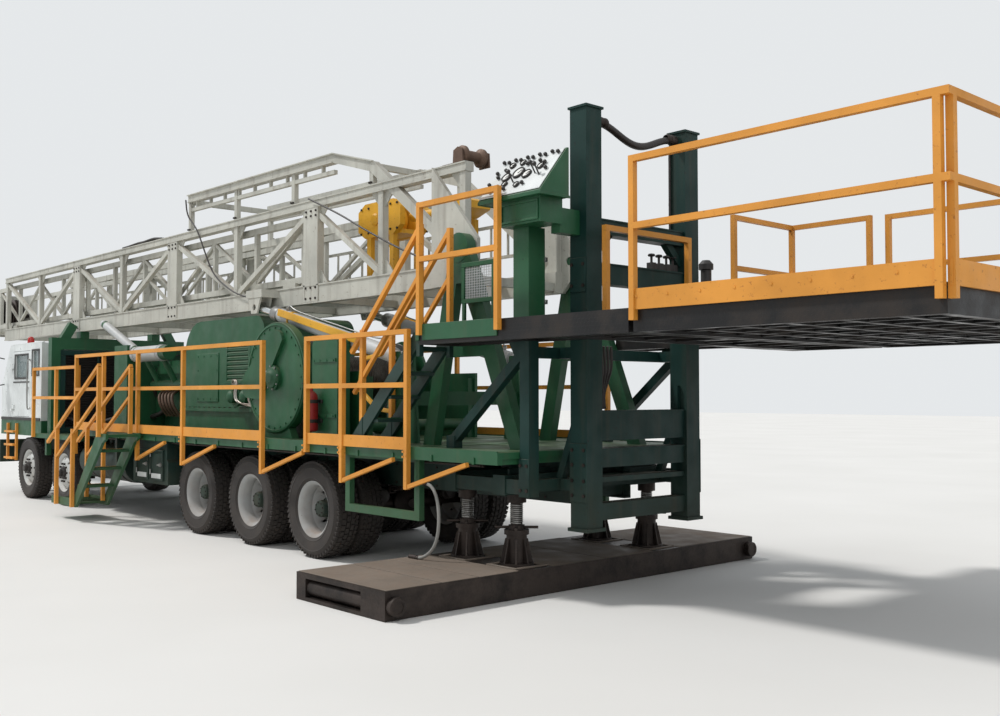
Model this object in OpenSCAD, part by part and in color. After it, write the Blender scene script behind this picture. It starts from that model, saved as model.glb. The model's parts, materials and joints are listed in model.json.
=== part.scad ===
// Workover rig: five-axle carrier with a lattice mast laid forward over the cab,
// work floor and screw jacks at the rear. Front of the carrier is -X, its left side -Y.

/* [Carrier] */
// Diameter of every tyre
tyre_d = 1080; // [1000:5:1120]
// Width of one tyre
tyre_w = 290; // [250:5:310]
// Diameter of the wheel rim
rim_d = 600; // [520:5:640]
// Distance between the rear axles
rear_pitch = 1410; // [1350:5:1500]
// Distance from the second steer axle to the first rear axle
front_gap = 4850; // [4500:10:5200]
// Distance between the two steer axles
steer_pitch = 1710; // [1600:10:1850]
// Half the track of the outer tyres
track_half = 1110; // [1080:5:1150]
// Gap between the two tyres of a twin wheel
twin_gap = 50; // [30:5:60]
// Half the width over the chassis rails
rail_half = 430; // [400:5:450]
// Height of the chassis rails
rail_deep = 280; // [240:10:300]
// Underside of the chassis rails above the ground
rail_z = 790; // [780:5:810]

/* [Deck] */
// Top of the main deck above the ground
deck_z = 1300; // [1270:5:1340]
// Half the width of the deck
deck_half = 1400; // [1350:10:1450]
// Thickness of the deck plate
deck_t = 60; // [40:5:80]
// Depth of the deck side beam
fascia_deep = 110; // [80:5:120]
// Height of the handrails above the deck
rail_h = 1150; // [1000:10:1200]
// Width of the square handrail tube
rail_tube = 50; // [40:2:60]
// Height of the toe boards
toe_h = 100; // [80:5:140]

/* [Cab] */
// Length of the cab
cab_l = 2150; // [2000:10:2250]
// Half the width of the cab
cab_half = 1220; // [1150:10:1250]
// Height of the cab body
cab_h = 1370; // [1300:10:1400]
// Thickness of the cab walls
cab_wall = 45; // [30:5:60]

/* [Mast] */
// Half the width over the lower mast section
mast_half = 700; // [680:5:705]
// Depth of the lower mast section
mast_deep = 1270; // [1200:10:1300]
// Underside of the mast above the ground
mast_z = 2930; // [2920:5:2960]
// Length of the lower mast section
lower_l = 14600; // [13500:100:15000]
// Width of the mast chords
chord_w = 110; // [90:5:115]
// Length of the upper mast section without its crown
upper_l = 13300; // [12500:100:13500]
// Side clearance between the two mast sections
mast_gap = 20; // [12:2:30]
// Diameter of the mast pivot pin
pivot_pin_d = 90; // [70:5:110]
// Diameter of the crown sheaves
sheave_d = 720; // [600:10:760]

/* [Work floor] */
// Top of the work floor above the ground
floor_z = 2480; // [2440:10:2520]
// Length of the folding rear platform
fold_l = 2500; // [2200:10:2600]
// Depth of the floor frames
floor_deep = 190; // [150:10:220]
// Height of the rear columns' tops above the ground
column_top = 4380; // [4300:10:4400]
// Width of the rear columns
column_w = 200; // [160:10:220]

/* [Ground beam] */
// Length of the jack base beam across the carrier
mat_l = 5000; // [4500:50:5400]
// Width of the jack base beam
mat_w = 1340; // [1200:20:1500]
// Thickness of the jack base beam
mat_t = 240; // [160:10:260]

/* [Hidden] */
$fn = 48;
e = 0.3;
axle_z = tyre_d / 2;
axle_x = [-2 * rear_pitch - front_gap - steer_pitch, -2 * rear_pitch - front_gap,
          -2 * rear_pitch, -rear_pitch, 0];
twin_y = track_half - tyre_w - twin_gap;
rail_top = rail_z + rail_deep;
deck_under = deck_z - deck_t;
deck_front = -6620;
deck_rear = 3270;
front_deck_z = deck_z - 140;
front_deck_front = -8830;
cab_rear = -8850;
cab_front = cab_rear - cab_l;
cab_z = 1370;
cab_top = cab_z + cab_h;
door_x0 = cab_rear - 1500;
door_x1 = cab_rear - 600;
bumper_x = cab_front - 100;
mast_top = mast_z + mast_deep;
mast_rear = 2000;
mast_front = mast_rear - lower_l;
keel_h = 230;
pivot = [2100, 0, mast_z + 350];
upper_half = mast_half - chord_w - mast_gap;
upper_rear = -1300;
upper_front = upper_rear - upper_l;
upper_z0 = mast_z + keel_h + 60;
upper_z1 = mast_top - 150;
frame_y = 780;
cyl_y = 850;
cyl_base = [1150, cyl_y, 2200];
cyl_eye = [-1900, cyl_y, mast_z];
barrel_d = 170;
rod_d = 110;
cyl_pin_d = 60;
col_x = 3680;
col_y = 700;
post_x = 3340;
post_y = 1080;
jack_x = [2300, 3000];
jack_y = 920;
jack_top = 900;
floor_y0 = -deck_half;
floor_y1 = 2500;
floor_x0 = 3900;
fold_x = 4800;
hinge_ys = [-1100, 400, 1900];
fold_x1 = fold_x + fold_l;
mat_x = 2600;
mat_y = -100;
pipe_d = 150;
drum_x = -1050;
drum_z = 2020;
guard_d = 1320;
house_x0 = -4350;
house_x1 = -2050;
house_top = 2860;
rack_x = -8500;
king_y = 790;
kingpin_d = 60;
stub_d = 100;
spindle_d = 120;
door_pin_d = 16;
hub_w = (track_half - twin_y) / 2;
crown_l = 900;
rail_off = rail_tube / 2 + e;
console_x = [3000, 3800];
console_z = 3520;
// wide posts of the mast take turns with narrow ones, at even steps before the pivot end
post_w = 90;
wide_post = 290;
post_step = (lower_l - 2985) / 6;
mast_posts = concat([mast_rear - 55, mast_rear - 1490], [for (k = [0:6]) mast_rear - 2925 - k * post_step]);
air_hose_d = 32;
air_hose_y = 80 - deck_half;
air_hose_end = [2090, air_hose_y - 80, mat_t + 21];
air_hose_route = [[2125, air_hose_y, 960], [2165, air_hose_y, 960], [2235, air_hose_y - 3, 942],
  [2300, air_hose_y - 8, 890], [2350, air_hose_y - 15, 800], [2380, air_hose_y - 23, 690],
  [2390, air_hose_y - 32, 580], [2380, air_hose_y - 40, 480], [2345, air_hose_y - 50, mat_t + 145],
  [2280, air_hose_y - 62, mat_t + 75], [2200, air_hose_y - 74, mat_t + 32],
  air_hose_end + [40, 0, 0], air_hose_end];
column_hose_d = 70;
column_hose_z = column_top - 85;
column_hose_half = 560;
column_sag = 135;
column_run = column_hose_half - 20;
column_hose_route = concat([[col_x, -column_hose_half, column_hose_z]],
  [for (y = [-column_run:column_run / 7.5:column_run])
    [col_x, y, column_hose_z - column_sag / 2 * (1 + cos(180 * y / column_run))]],
  [[col_x, column_hose_half, column_hose_z]]);
x_mid = (upper_front - crown_l + fold_x1 + rail_tube) / 2;
y_mid = (mat_y - mat_l / 2 + floor_y1 + rail_off + rail_tube / 2) / 2;

// Box from one corner to the other
module span(a, b) {
  translate([min(a.x, b.x), min(a.y, b.y), min(a.z, b.z)])
    cube([abs(b.x - a.x), abs(b.y - a.y), abs(b.z - a.z)]);
}

// Straight bar of rectangular section between two points
module bar(a, b, w, h) {
  d = b - a;
  l = norm(d);
  translate(a) rotate([0, acos(d.z / l), atan2(d.y, d.x)])
    translate([-h / 2, -w / 2, 0]) cube([h, w, l]);
}

// Straight round bar between two points
module rod(a, b, d0) {
  d = b - a;
  l = norm(d);
  translate(a) rotate([0, acos(d.z / l), atan2(d.y, d.x)]) cylinder(d = d0, h = l);
}

// Cylinder along Y, centred at p
module y_cyl(p, d0, w) {
  translate(p) rotate([90, 0, 0]) cylinder(d = d0, h = w, center = true);
}

module both_sides() {
  children();
  mirror([0, 1, 0]) children();
}

// Plate of a profile in X and Z, from y0 to y1
module xz_plate(pts, y0, y1) {
  translate([0, max(y0, y1), 0]) rotate([90, 0, 0])
    linear_extrude(abs(y1 - y0)) polygon(pts);
}

module chassis_frame() {
  color("#123d27") {
    both_sides() {
      difference() {
        span([bumper_x, rail_half - 90, rail_z], [deck_rear - 60, rail_half, rail_top]);
        span([bumper_x - 1, rail_half - 91, rail_z + 14],
             [deck_rear - 59, rail_half - 12, rail_top - 14]);
      }
    }
    for (x = [bumper_x + 20, -10500, axle_x[0] + 855, axle_x[1] + 900, -5000, -3600,
              axle_x[2] + rear_pitch / 2, axle_x[3] + rear_pitch / 2, 900, 2000, 3060])
      span([x - 60, -rail_half + 11, rail_z + 30], [x + 60, rail_half - 11, rail_top - 30]);
    // subframe under the deck
    both_sides() span([-6500, rail_half - 100, rail_top], [deck_rear - 60, rail_half, deck_under]);
    both_sides() span([bumper_x, rail_half - 100, rail_top],
                      [-6500, rail_half, front_deck_z - deck_t]);
    // front bumper
    difference() {
      span([bumper_x - 120, -1200, 560], [bumper_x, 1200, 980]);
      for (s = [-1, 1]) translate([bumper_x - 60, s * 520, 400])
        cylinder(d = 60, h = 800);
    }
  }
}

// Axles on leaf springs, with a through shaft between the driven ones
module axles() {
  color("#2c2a27") {
    for (i = [0:4]) {
      steer = i < 2;
      half = steer ? king_y - 50 : twin_y - tyre_w / 2 - 60;
      rod([axle_x[i], -half, axle_z], [axle_x[i], half, axle_z], steer ? 116 : 170);
      if (!steer) {
        translate([axle_x[i], 0, axle_z]) sphere(d = 380);
        rod([axle_x[i], -track_half, axle_z], [axle_x[i], track_half, axle_z], spindle_d);
      }
      both_sides() leaf_spring(axle_x[i]);
    }
    rod([axle_x[2], 0, axle_z + 20], [axle_x[4], 0, axle_z + 20], 90);
    // steer axle ends that carry the kingpins
    for (i = [0, 1]) both_sides() difference() {
      translate([axle_x[i], king_y, axle_z - 65 + e]) cylinder(d = 116, h = 130 - 2 * e);
      translate([axle_x[i], king_y, axle_z - 80]) cylinder(d = kingpin_d + 0.1, h = 160);
    }
  }
}

// Stepped leaves on a saddle, hung from the rail at both ends
module leaf_spring(x) {
  z = rail_z - 90;
  y0 = rail_half - 80;
  y1 = rail_half - 10;
  span([x - 60, y0, axle_z + 40], [x + 60, y1, z + 1]);
  xz_plate([[x - 540, z + 60], [x - 540, z + 36], [x - 400, z + 36], [x - 400, z + 18], [x - 260, z + 18],
            [x - 260, z], [x + 260, z], [x + 260, z + 18], [x + 400, z + 18], [x + 400, z + 36],
            [x + 540, z + 36], [x + 540, z + 60]], y0 + 2, y1 - 2);
  for (s = [-1, 1]) span([x + s * 500 - 30, y0 + 10, z + 59], [x + s * 500 + 30, y1 - 10, rail_z - e]);
}

// Round hose along its points, each stretch run on a little into the next
module hose(route, d0) {
  for (i = [0:len(route) - 2]) {
    u = (route[i + 1] - route[i]) / norm(route[i + 1] - route[i]);
    on = i < len(route) - 2 ? d0 / 4 : 0;
    rod(route[i], route[i + 1] + on * u, d0 + 0.2 * (i % 2), $fn = 10);
  }
}

module air_hose() {
  color("#8d8f8c") hose(air_hose_route, air_hose_d);
}

module column_hose() {
  color("#1b1c1d") hose(column_hose_route, column_hose_d);
}

module deck() {
  color("#1c6b3a") {
    // main deck plate and its side beams
    span([deck_front, -deck_half, deck_under], [deck_rear, deck_half, deck_z]);
    both_sides() span([deck_front, deck_half - 60, deck_under - fascia_deep + deck_t],
                      [deck_rear, deck_half, deck_under + 1]);
    both_sides() for (i = [0:8]) {
      x = deck_front + 60 + i * (deck_rear - deck_front - 140) / 8;
      span([x, rail_half + e, deck_under - 50], [x + 60, deck_half - 10, deck_under + 1]);
    }
    // front deck
    span([front_deck_front, -deck_half + 60, front_deck_z - deck_t],
         [deck_front + 1, deck_half - 60, front_deck_z]);
    both_sides() span([front_deck_front, deck_half - 120, front_deck_z - deck_t - 10],
                      [deck_front, deck_half - 60, front_deck_z]);
    span([deck_front - 1, -deck_half, front_deck_z - deck_t], [deck_front + 60, deck_half, deck_z]);
    // base under the cab
    span([cab_front, -cab_half, front_deck_z - deck_t], [cab_rear + 20, cab_half, cab_z]);
    // hangers between the steer axles
    both_sides() span([-8590, deck_half - 250, 790], [-8510, deck_half - 170, front_deck_z - deck_t + 1]);
    // drop frame behind the last axle
    both_sides() difference() {
      span([820, deck_half - 110, 600], [2090, deck_half - 50, deck_under]);
      span([900, deck_half - 120, 680], [2010, deck_half - 40, deck_under - 80]);
    }
    // union of the air hose on the drop frame
    rod([2089, air_hose_y, 960], air_hose_route[0] - [e, 0, 0], 54);
    side_stair();
  }
}

module side_stair() {
  y0 = -deck_half - 550;
  y1 = -deck_half - 60;
  // treads end inside the stringers
  span([-6130, y0 + 20, 245], [-5240, y1 - 20, 275]);
  for (i = [0:2]) span([-5170 + i * 260, y0 + 20, 500 + i * 260], [-4910 + i * 260, y1 - 20, 530 + i * 260]);
  for (y = [y0, y1 - 40])
    xz_plate([[-6150, 210], [-5180, 210], [-4230, deck_z - 140], [-4110, deck_z - 85], [-4110, deck_z - 15],
              [-4430, deck_z - 15], [-5270, 320], [-6150, 320]], y, y + 40);
  span([-4420, y0 + 20, deck_z - 65], [-4130, y1 - 20, deck_z - 25]);
  for (x = [-4400, -4210]) span([x, y1 - 10, deck_z - 55], [x + 60, -deck_half + 10, deck_z - 35]);
}

module post_row(xs, y, z0, z1) {
  for (x = xs) span([x - rail_tube / 2, y - rail_tube / 2, z0], [x + rail_tube / 2, y + rail_tube / 2, z1]);
}

module run_x(x0, x1, y, zs) {
  for (z = zs) span([x0, y - rail_tube / 2, z - rail_tube], [x1, y + rail_tube / 2, z]);
}

module deck_railings() {
  y = deck_half + rail_tube / 2 + e;
  z1 = deck_z + rail_h;
  zm = deck_z + rail_h * 0.55;
  color("#d98a2b") {
    // main rail with its toe board, left side
    post_row([-6640, -4300, -2870, -800], -y, deck_z - 400, z1);
    post_row([-5540], -y, deck_z - fascia_deep, z1);
    run_x(-6665, -4275, -y, [z1, zm]);
    run_x(-4300, -775, -y, [z1, zm]);
    span([-6640, -y - 10, deck_z - 20], [-800, -y + 10, deck_z + toe_h]);
    // rear rail, left side
    post_row([170, 860], -y, deck_z - fascia_deep, z1);
    post_row([870, 1990], -y, deck_z - 400, z1);
    run_x(145, 2015, -y, [z1, zm]);
    span([170, -y - 10, deck_z - 20], [1990, -y + 10, deck_z + toe_h]);
    for (x = [-4300, -2870, -800, 870, 1990])
      bar([x, -y, deck_z - 380], [x + 900, -y, deck_z - 120], rail_tube - 10, rail_tube - 10);
    // right side
    post_row([-6640, -5200, -3700, -2200, -700, 800, 2000], y, deck_z - fascia_deep, z1);
    run_x(-6665, 2025, y, [z1, zm]);
    span([-6640, y - 10, deck_z - 20], [2000, y + 10, deck_z + toe_h]);
    // front deck rails
    both_sides() {
      yf = deck_half - 60 + rail_tube / 2 + e;
      post_row([-8780, -7700], yf, front_deck_z - 60, front_deck_z + 1130);
      run_x(-8805, -6700, yf, [front_deck_z + 1130, front_deck_z + 640]);
      post_row([-6725], yf, front_deck_z - 60, front_deck_z + 1130);
    }
    side_stair_rails();
    upper_stair();
    // steps hung below the cab doors
    both_sides() {
      for (x = [-10560, -10080]) span([x, cab_half + e, 640], [x + 50, cab_half + 40, cab_z - 60]);
      for (z = [660, 900, 1140]) span([-10540, cab_half + e, z], [-10050, cab_half + 90, z + 34]);
    }
  }
}

module side_stair_rails() {
  out = -deck_half - 550 - rail_off;
  for (yy = [out, -deck_half - 130]) {
    bar([-6260, yy, 1110], [-4290, yy, 2230], 45, 45);
    post_row([-5880, -5250], yy, yy == out ? 210 : 275 + e, 1330);
    post_row([-4300], yy, yy == out ? deck_z - 60 : deck_z - 25 + e, 2200);
    bar([-5880, yy, 900], [-4300, yy, 1800], 40, 40);
  }
}

module upper_stair() {
  y0 = -deck_half + 30;
  y1 = -deck_half + 400;
  difference() {
    for (yy = [y0, y1]) bar([980, yy, deck_z - 20], [2160, yy, floor_z - 60], 40, 140);
    span([500, -deck_half, deck_z - 500], [3000, -800, deck_z + e]);
    span([2150 - e, -deck_half, deck_z], [2400, -800, floor_z + 200]);
  }
  for (yy = [y0, y1]) {
    bar([960, yy, 2250], [2120, yy, 3430], 45, 45);
    bar([1010, yy, 1830], [2120, yy, 2970], 40, 40);
    post_row([1160], yy, deck_z + e, 2480);
    post_row([2120], yy, floor_z - 300, 3460);
  }
  for (i = [1:4]) span([990 + i * 222, y0, deck_z + i * 235], [1210 + i * 222, y1, deck_z + i * 235 + 30]);
}

module cab_profile(inset) {
  offset(delta = -inset) polygon([[cab_rear, cab_z], [cab_rear, cab_top],
    [cab_front + 480, cab_top], [cab_front + 60, cab_top - 650], [cab_front, cab_top - 720],
    [cab_front, cab_z]]);
}

module cab_block(inset, half) {
  translate([0, half, 0]) rotate([90, 0, 0]) linear_extrude(2 * half) cab_profile(inset);
}

module cab_shell() {
  color("#e6e8e4") both_sides() for (z = [cab_z + 160, cab_z + 900]) hinge_half(1, z, false);
  color("#e6e8e4") difference() {
    cab_block(0, cab_half);
    cab_block(cab_wall, cab_half - cab_wall);
    // door openings
    both_sides() span([door_x0, cab_half - cab_wall - 5, cab_z + 60],
                      [door_x1, cab_half + 5, cab_top - 120]);
    // rear quarter windows
    both_sides() span([door_x1 + 130, cab_half - cab_wall - 5, cab_top - 560],
                      [cab_rear - 130, cab_half + 5, cab_top - 130]);
    // windscreen in two panes
    for (s = [-1, 1]) translate([cab_front + 270, s * 580, cab_top - 325])
      rotate([0, 32.9, 0]) cube([400, 1000, 560], center = true);
    // rear window
    span([cab_rear - cab_wall - 5, -700, cab_top - 560], [cab_rear + 5, 700, cab_top - 180]);
  }
}

module cab_glass() {
  g = 6;
  color("#8fb0b8") {
    both_sides() span([door_x1 + 130 + e, cab_half - 30, cab_top - 560 + e],
                      [cab_rear - 130 - e, cab_half - 30 + g, cab_top - 130 - e]);
    span([cab_rear - 30, -700 + e, cab_top - 560 + e], [cab_rear - 30 + g, 700 - e, cab_top - 180 - e]);
    for (s = [-1, 1]) translate([cab_front + 270 + 12, s * 580, cab_top - 325 - 8])
      rotate([0, 32.9, 0]) cube([g, 1000 - 2 * e, 560 - 2 * e], center = true);
  }
}

// Hinge pieces at one height, on the outer face of the cab
module hinge_half(side, z, on_door) {
  y = side * (cab_half + 16);
  if (!on_door) {
    span([door_x0 - 80, side * (cab_half - 5), z], [door_x0 - 12, y + side * 14, z + 40]);
    span([door_x0 - 13, side * (cab_half + 2), z], [door_x0 + 9, y + side * 14, z + 40]);
    translate([door_x0 - 5, y, z + 20]) cylinder(d = door_pin_d, h = 110);
  } else difference() {
    union() {
      translate([door_x0 - 5, y, z + 40 + e]) cylinder(d = 30, h = 70);
      span([door_x0 - 5, y - side * 8, z + 40 + e], [door_x0 + 90, y + side * 8, z + 110]);
      span([door_x0 + 12, side * (cab_half - 5), z + 40 + e], [door_x0 + 90, y + side * 8, z + 110]);
    }
    translate([door_x0 - 5, y, z]) cylinder(d = door_pin_d + 0.1, h = 150);
  }
}

module cab_interior() {
  color("#2a2d2e") {
    for (s = [-1, 1]) {
      span([cab_rear - 950, s * 600 - 250, cab_z + cab_wall + e], [cab_rear - 450, s * 600 + 250, cab_z + 380]);
      bar([cab_rear - 480, s * 600, cab_z + 370], [cab_rear - 330, s * 600, cab_z + 1000], 460, 110);
    }
    span([cab_front + cab_wall + e, -cab_half + 100, cab_z + cab_wall + e],
         [cab_front + 420, cab_half - 100, cab_z + 560]);
    translate([cab_front + 560, -600, cab_z + 690]) rotate([0, -60, 0])
      rotate_extrude() translate([200, 0]) circle(d = 32, $fn = 24);
    bar([cab_front + 400, -600, cab_z + 520], [cab_front + 560, -600, cab_z + 690], 50, 50);
    translate([cab_front + 560, -600, cab_z + 690]) rotate([0, -60, 0])
      cube([400, 40, 16], center = true);
  }
}

module cab_door(side) {
  c = 7;
  color("#e6e8e4") for (z = [cab_z + 160, cab_z + 900]) hinge_half(side, z, true);
  y0 = side * (cab_half - cab_wall + 2);
  y1 = side * cab_half;
  color("#e6e8e4") difference() {
    union() {
      span([door_x0 + c, y0, cab_z + 60 + c], [door_x1 - c, y1, cab_top - 120 - c]);
      // handle
      span([door_x1 - 190, y1, cab_z + 560], [door_x1 - 60, y1 + side * 40, cab_z + 600]);
    }
    span([door_x0 + 110, y0 - side * 5, cab_top - 600], [door_x1 - 110, y1 + side * 5, cab_top - 200]);
  }
}

module side_lockers() {
  color("#14422a") {
    // left side: two lockers and the fuel tank
    xz_plate([[-4640, 590], [-3500, 590], [-3500, 900], [-3540, 940], [-3540, deck_under - 50 - e],
              [-4600, deck_under - 50 - e], [-4600, 940], [-4640, 900]], 70 - deck_half, -760);
    for (x = [-4500, -4040]) span([x, 56 - deck_half, 640], [x + 420, 71 - deck_half, 1060]);
    difference() {
      rod([-6850, 400 - deck_half, 790], [-5080, 400 - deck_half, 790], 560);
      for (x = [-6851, -5099]) rod([x, 400 - deck_half, 790], [x + 20, 400 - deck_half, 790], 500);
    }
    rod([-6200, 400 - deck_half, 1050], [-6200, 400 - deck_half, 1110], 110);
    // saddles that hold the tank to the frame rail
    for (x = [-6500, -5350]) difference() {
      span([x, 80 - deck_half, 780], [x + 80, -rail_half - e, deck_under - 50 - e]);
      rod([x - 1, 400 - deck_half, 790], [x + 81, 400 - deck_half, 790], 560 + 2 * e);
    }
    // right side
    span([-6400, 760, 560], [-3500, deck_half - 80, deck_under - 50 - e]);
    for (x = [-6330, -5370, -4410]) span([x, deck_half - 81, 620], [x + 840, deck_half - 66, 1130]);
  }
}

module engine() {
  color("#1d5234") {
    // radiator housing with its core recess
    difference() {
      span([-6500, -880, deck_z], [-6000, 880, 2600]);
      span([-6510, -780, deck_z + 150], [-6400, 780, 2500]);
    }
    // block, sump and heads
    span([-5950, -420, deck_z + 250], [-4400, 420, 2150]);
    span([-5900, -300, deck_z], [-4420, 300, deck_z + 251]);
    // heads with their rocker covers, and the inlet manifold between them
    for (s = [-1, 1]) {
      span([-5850, s * 330 - 130, 2149], [-4480, s * 330 + 130, 2270]);
      for (i = [0:2]) span([-5820 + i * 450, s * 330 - 105, 2269], [-5420 + i * 450, s * 330 + 105, 2350]);
      for (i = [0:5]) rod([-5740 + i * 225, s * 410, 1980], [-5740 + i * 225, s * 520, 1980], 84);
      rod([-5800, s * 530, 1980], [-4540, s * 530, 1980], 124);
    }
    rod([-5800, 0, 2200], [-4520, 0, 2200], 180);
    rod([-6001, 0, 2000], [-5940, 0, 2000], 900);
    rod([-5960, 0, 1560], [-5900, 0, 1560], 300);
    // silencer and the tail pipe that rises beside the mast
    rod([-5900, -780, 2450], [-4700, -780, 2450], 220);
    for (x = [-5600, -5000]) rod([x, -780, 2450], [x, -530, 1990], 90);
    rod([-5850, -780, 2490], [-7200, -780, 3000], 120);
    span([-6340, -810, 2580], [-6280, -750, 2700]);
  }
}

// Points of a quarter round from one bearing to another
function arc(cx, cz, r, from, to) = [for (k = [0:6]) let (t = from + (to - from) * k / 6) [cx + r * cos(t), cz + r * sin(t)]];

// Housing of the chain compound: rounded top, louvres on both sides, two hydraulic motors
module drive_case() {
  color("#17613a") {
    difference() {
      xz_plate(concat([[house_x1, deck_z]], arc(house_x1 - 220, house_top - 220, 220, 0, 90),
                      arc(house_x0 + 480, house_top - 480, 480, 90, 180), [[house_x0, deck_z]]), -700, 700);
      both_sides() for (i = [0:7]) span([-3060, 670, 2010 + i * 62], [-2470, 701, 2044 + i * 62]);
    }
    // bolted flange between the upper and lower halves
    both_sides() span([house_x0 - 30, 699, 1590], [house_x1 - 20, 740, 1640]);
    for (x = [-2600, -2260]) {
      rod([x, -699, 1790], [x, -820, 1790], 240);
      rod([x, -819, 1790], [x, -900, 1790], 170);
    }
    // output shaft housing towards the drawworks
    rod([house_x1 - 1, 0, drum_z], [house_x1 + 200, 0, drum_z], 420);
    // input flange from the transmission
    rod([house_x0 + 1, 0, 1900], [-4398, 0, 1900], 420);
  }
}

module drawworks_frame() {
  x0 = drum_x - 560;
  x1 = drum_x + 1470;
  color("#1c6b3a") {
    both_sides() {
      difference() {
        span([x0, 780, deck_z], [x1, 820, drum_z + 60]);
        y_cyl([drum_x, 800, drum_z], 900, 60);
      }
      difference() {
        y_cyl([drum_x, 800, drum_z], 1000, 40);
        y_cyl([drum_x, 800, drum_z], 140.1, 60);
      }
      // feet and stiffeners of the side plates
      for (x = [x0 + 40, x1 - 60]) span([x, 700, deck_z], [x + 30, 781, drum_z]);
    }
    // cross tubes between the side plates
    for (x = [x0 + 60, x1 - 120]) rod([x, -781, deck_z + 160], [x, 781, deck_z + 160], 140);
    // chain guard on the driller's side: round case, slanting lobe and foot
    y_cyl([drum_x, -1060, drum_z], guard_d, 120);
    y_cyl([drum_x, -1004, drum_z], guard_d - 160, 118);
    for (s = [-1, 1]) span([drum_x + s * 490 - 30, -946, drum_z - 60], [drum_x + s * 490 + 30, -819, drum_z + 60]);
    y_cyl([drum_x, -1130, drum_z], 300, 60);
    xz_plate(concat(arc(drum_x + 90, drum_z + 420, 150, 10, 130), arc(drum_x - 560, drum_z - 80, 170, 130, 250),
                    [[drum_x - 300, drum_z - 260]]), -1165, -1119);
    xz_plate([[drum_x - 360, deck_z], [drum_x + 380, deck_z], [drum_x + 240, drum_z - 500],
              [drum_x - 220, drum_z - 500]], -1100, -1010);
    // gear case beside the guard
    xz_plate(concat([[290, deck_z]], arc(230, 2380, 60, 0, 90), arc(-170, 2380, 60, 90, 180), [[-230, deck_z]]), -1110, -945);
    for (z = [1560, 2180]) span([-200, -1124, z], [260, -1109, z + 40]);
    span([-60, -946, deck_z], [120, -819, deck_z + 200]);
    // brake disc and its caliper bracket on the far side
    difference() {
      y_cyl([drum_x, 880, drum_z], 620, 122);
      y_cyl([drum_x, 880, drum_z], 160, 130);
    }
    span([drum_x + 280, 819, deck_z], [drum_x + 420, 900, drum_z + 160]);
  }
}

module drawworks_drum() {
  color("#5a5d5c") {
    y_cyl([drum_x, 0, drum_z], 140, 1720);
    y_cyl([drum_x, 0, drum_z], 460, 1300);
    both_sides() y_cyl([drum_x, 640, drum_z], 940, 40);
  }
}

module mast_supports() {
  color("#1c6b3a") {
    // front cradle behind the cab
    both_sides() {
      span([rack_x - 80, 1050, front_deck_z], [rack_x + 80, 1200, mast_z - 200]);
      bar([rack_x, 1120, mast_z - 400], [rack_x, 820, mast_z + 120], 130, 150);
      span([rack_x - 100, mast_half - 130, mast_z - 120], [rack_x + 100, mast_half + 20, mast_z - e]);
    }
    span([rack_x - 80, -1200, mast_z - 320], [rack_x + 80, 1200, mast_z - 120]);
    // pivot stand at the rear
    both_sides() {
      y1 = frame_y + 100;
      difference() {
        xz_plate([[1540, deck_z], [pivot.x - 120, pivot.z + 60], [pivot.x + 120, pivot.z + 60],
                  [3040, deck_z]], frame_y, y1);
        xz_plate([[1715, deck_z - 1], [1905, 2190], [2490, 2190], [2865, deck_z - 1]], frame_y - 1, y1 + 1);
        xz_plate([[1945, 2310], [2070, 2920], [2150, 2920], [2440, 2310]], frame_y - 1, y1 + 1);
      }
      y_cyl([pivot.x, frame_y + 50, pivot.z], 300, 110);
      y_cyl([pivot.x, frame_y - 35, pivot.z], pivot_pin_d, 70);
      // cylinder feet
      for (s = [-1, 1]) difference() {
        xz_plate([[cyl_base.x - 160, deck_z], [cyl_base.x + 160, deck_z],
                  [cyl_base.x + 70, cyl_base.z + 70], [cyl_base.x - 70, cyl_base.z + 70]],
                 cyl_y + s * 95 - 15, cyl_y + s * 95 + 15);
        y_cyl([cyl_base.x, cyl_y + s * 95, cyl_base.z], cyl_pin_d, 40);
      }
    }
    span([cyl_base.x - 80, -cyl_y + 110, 1700], [cyl_base.x + 80, cyl_y - 110, 1850]);
  }
}

module cylinder_barrels() {
  u = (cyl_eye - cyl_base) / norm(cyl_eye - cyl_base);
  color("#c9ccca") both_sides() {
    difference() {
      rod(cyl_base + 150 * u, cyl_base + 2700 * u, barrel_d);
      rod(cyl_base + 400 * u, cyl_base + 2710 * u, rod_d + 0.1);
    }
    rod(cyl_base, cyl_base + 160 * u, 120);
    y_cyl(cyl_base, 150, 150);
    y_cyl(cyl_base, cyl_pin_d - 0.1, 215);
  }
}

module cylinder_rods() {
  u = (cyl_eye - cyl_base) / norm(cyl_eye - cyl_base);
  l = norm(cyl_eye - cyl_base);
  color("#dfe2e2") both_sides() {
    rod(cyl_base + 420 * u, cyl_base + (l - 50) * u, rod_d);
    difference() {
      y_cyl(cyl_eye, 150, 104);
      y_cyl(cyl_eye, cyl_pin_d, 120);
    }
  }
}

module lattice(x0, x1, n, half, z0, z1, w) {
  p = (x1 - x0) / n;
  // side panels
  both_sides() for (i = [0:n]) {
    x = x0 + i * p;
    span([x - w / 2, half - w, z0], [x + w / 2, half, z1]);
    if (i < n) bar([x, half - w / 2, i % 2 == 0 ? z0 : z1],
                   [x + p, half - w / 2, i % 2 == 0 ? z1 : z0], w - 14, w - 14);
  }
}

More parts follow.
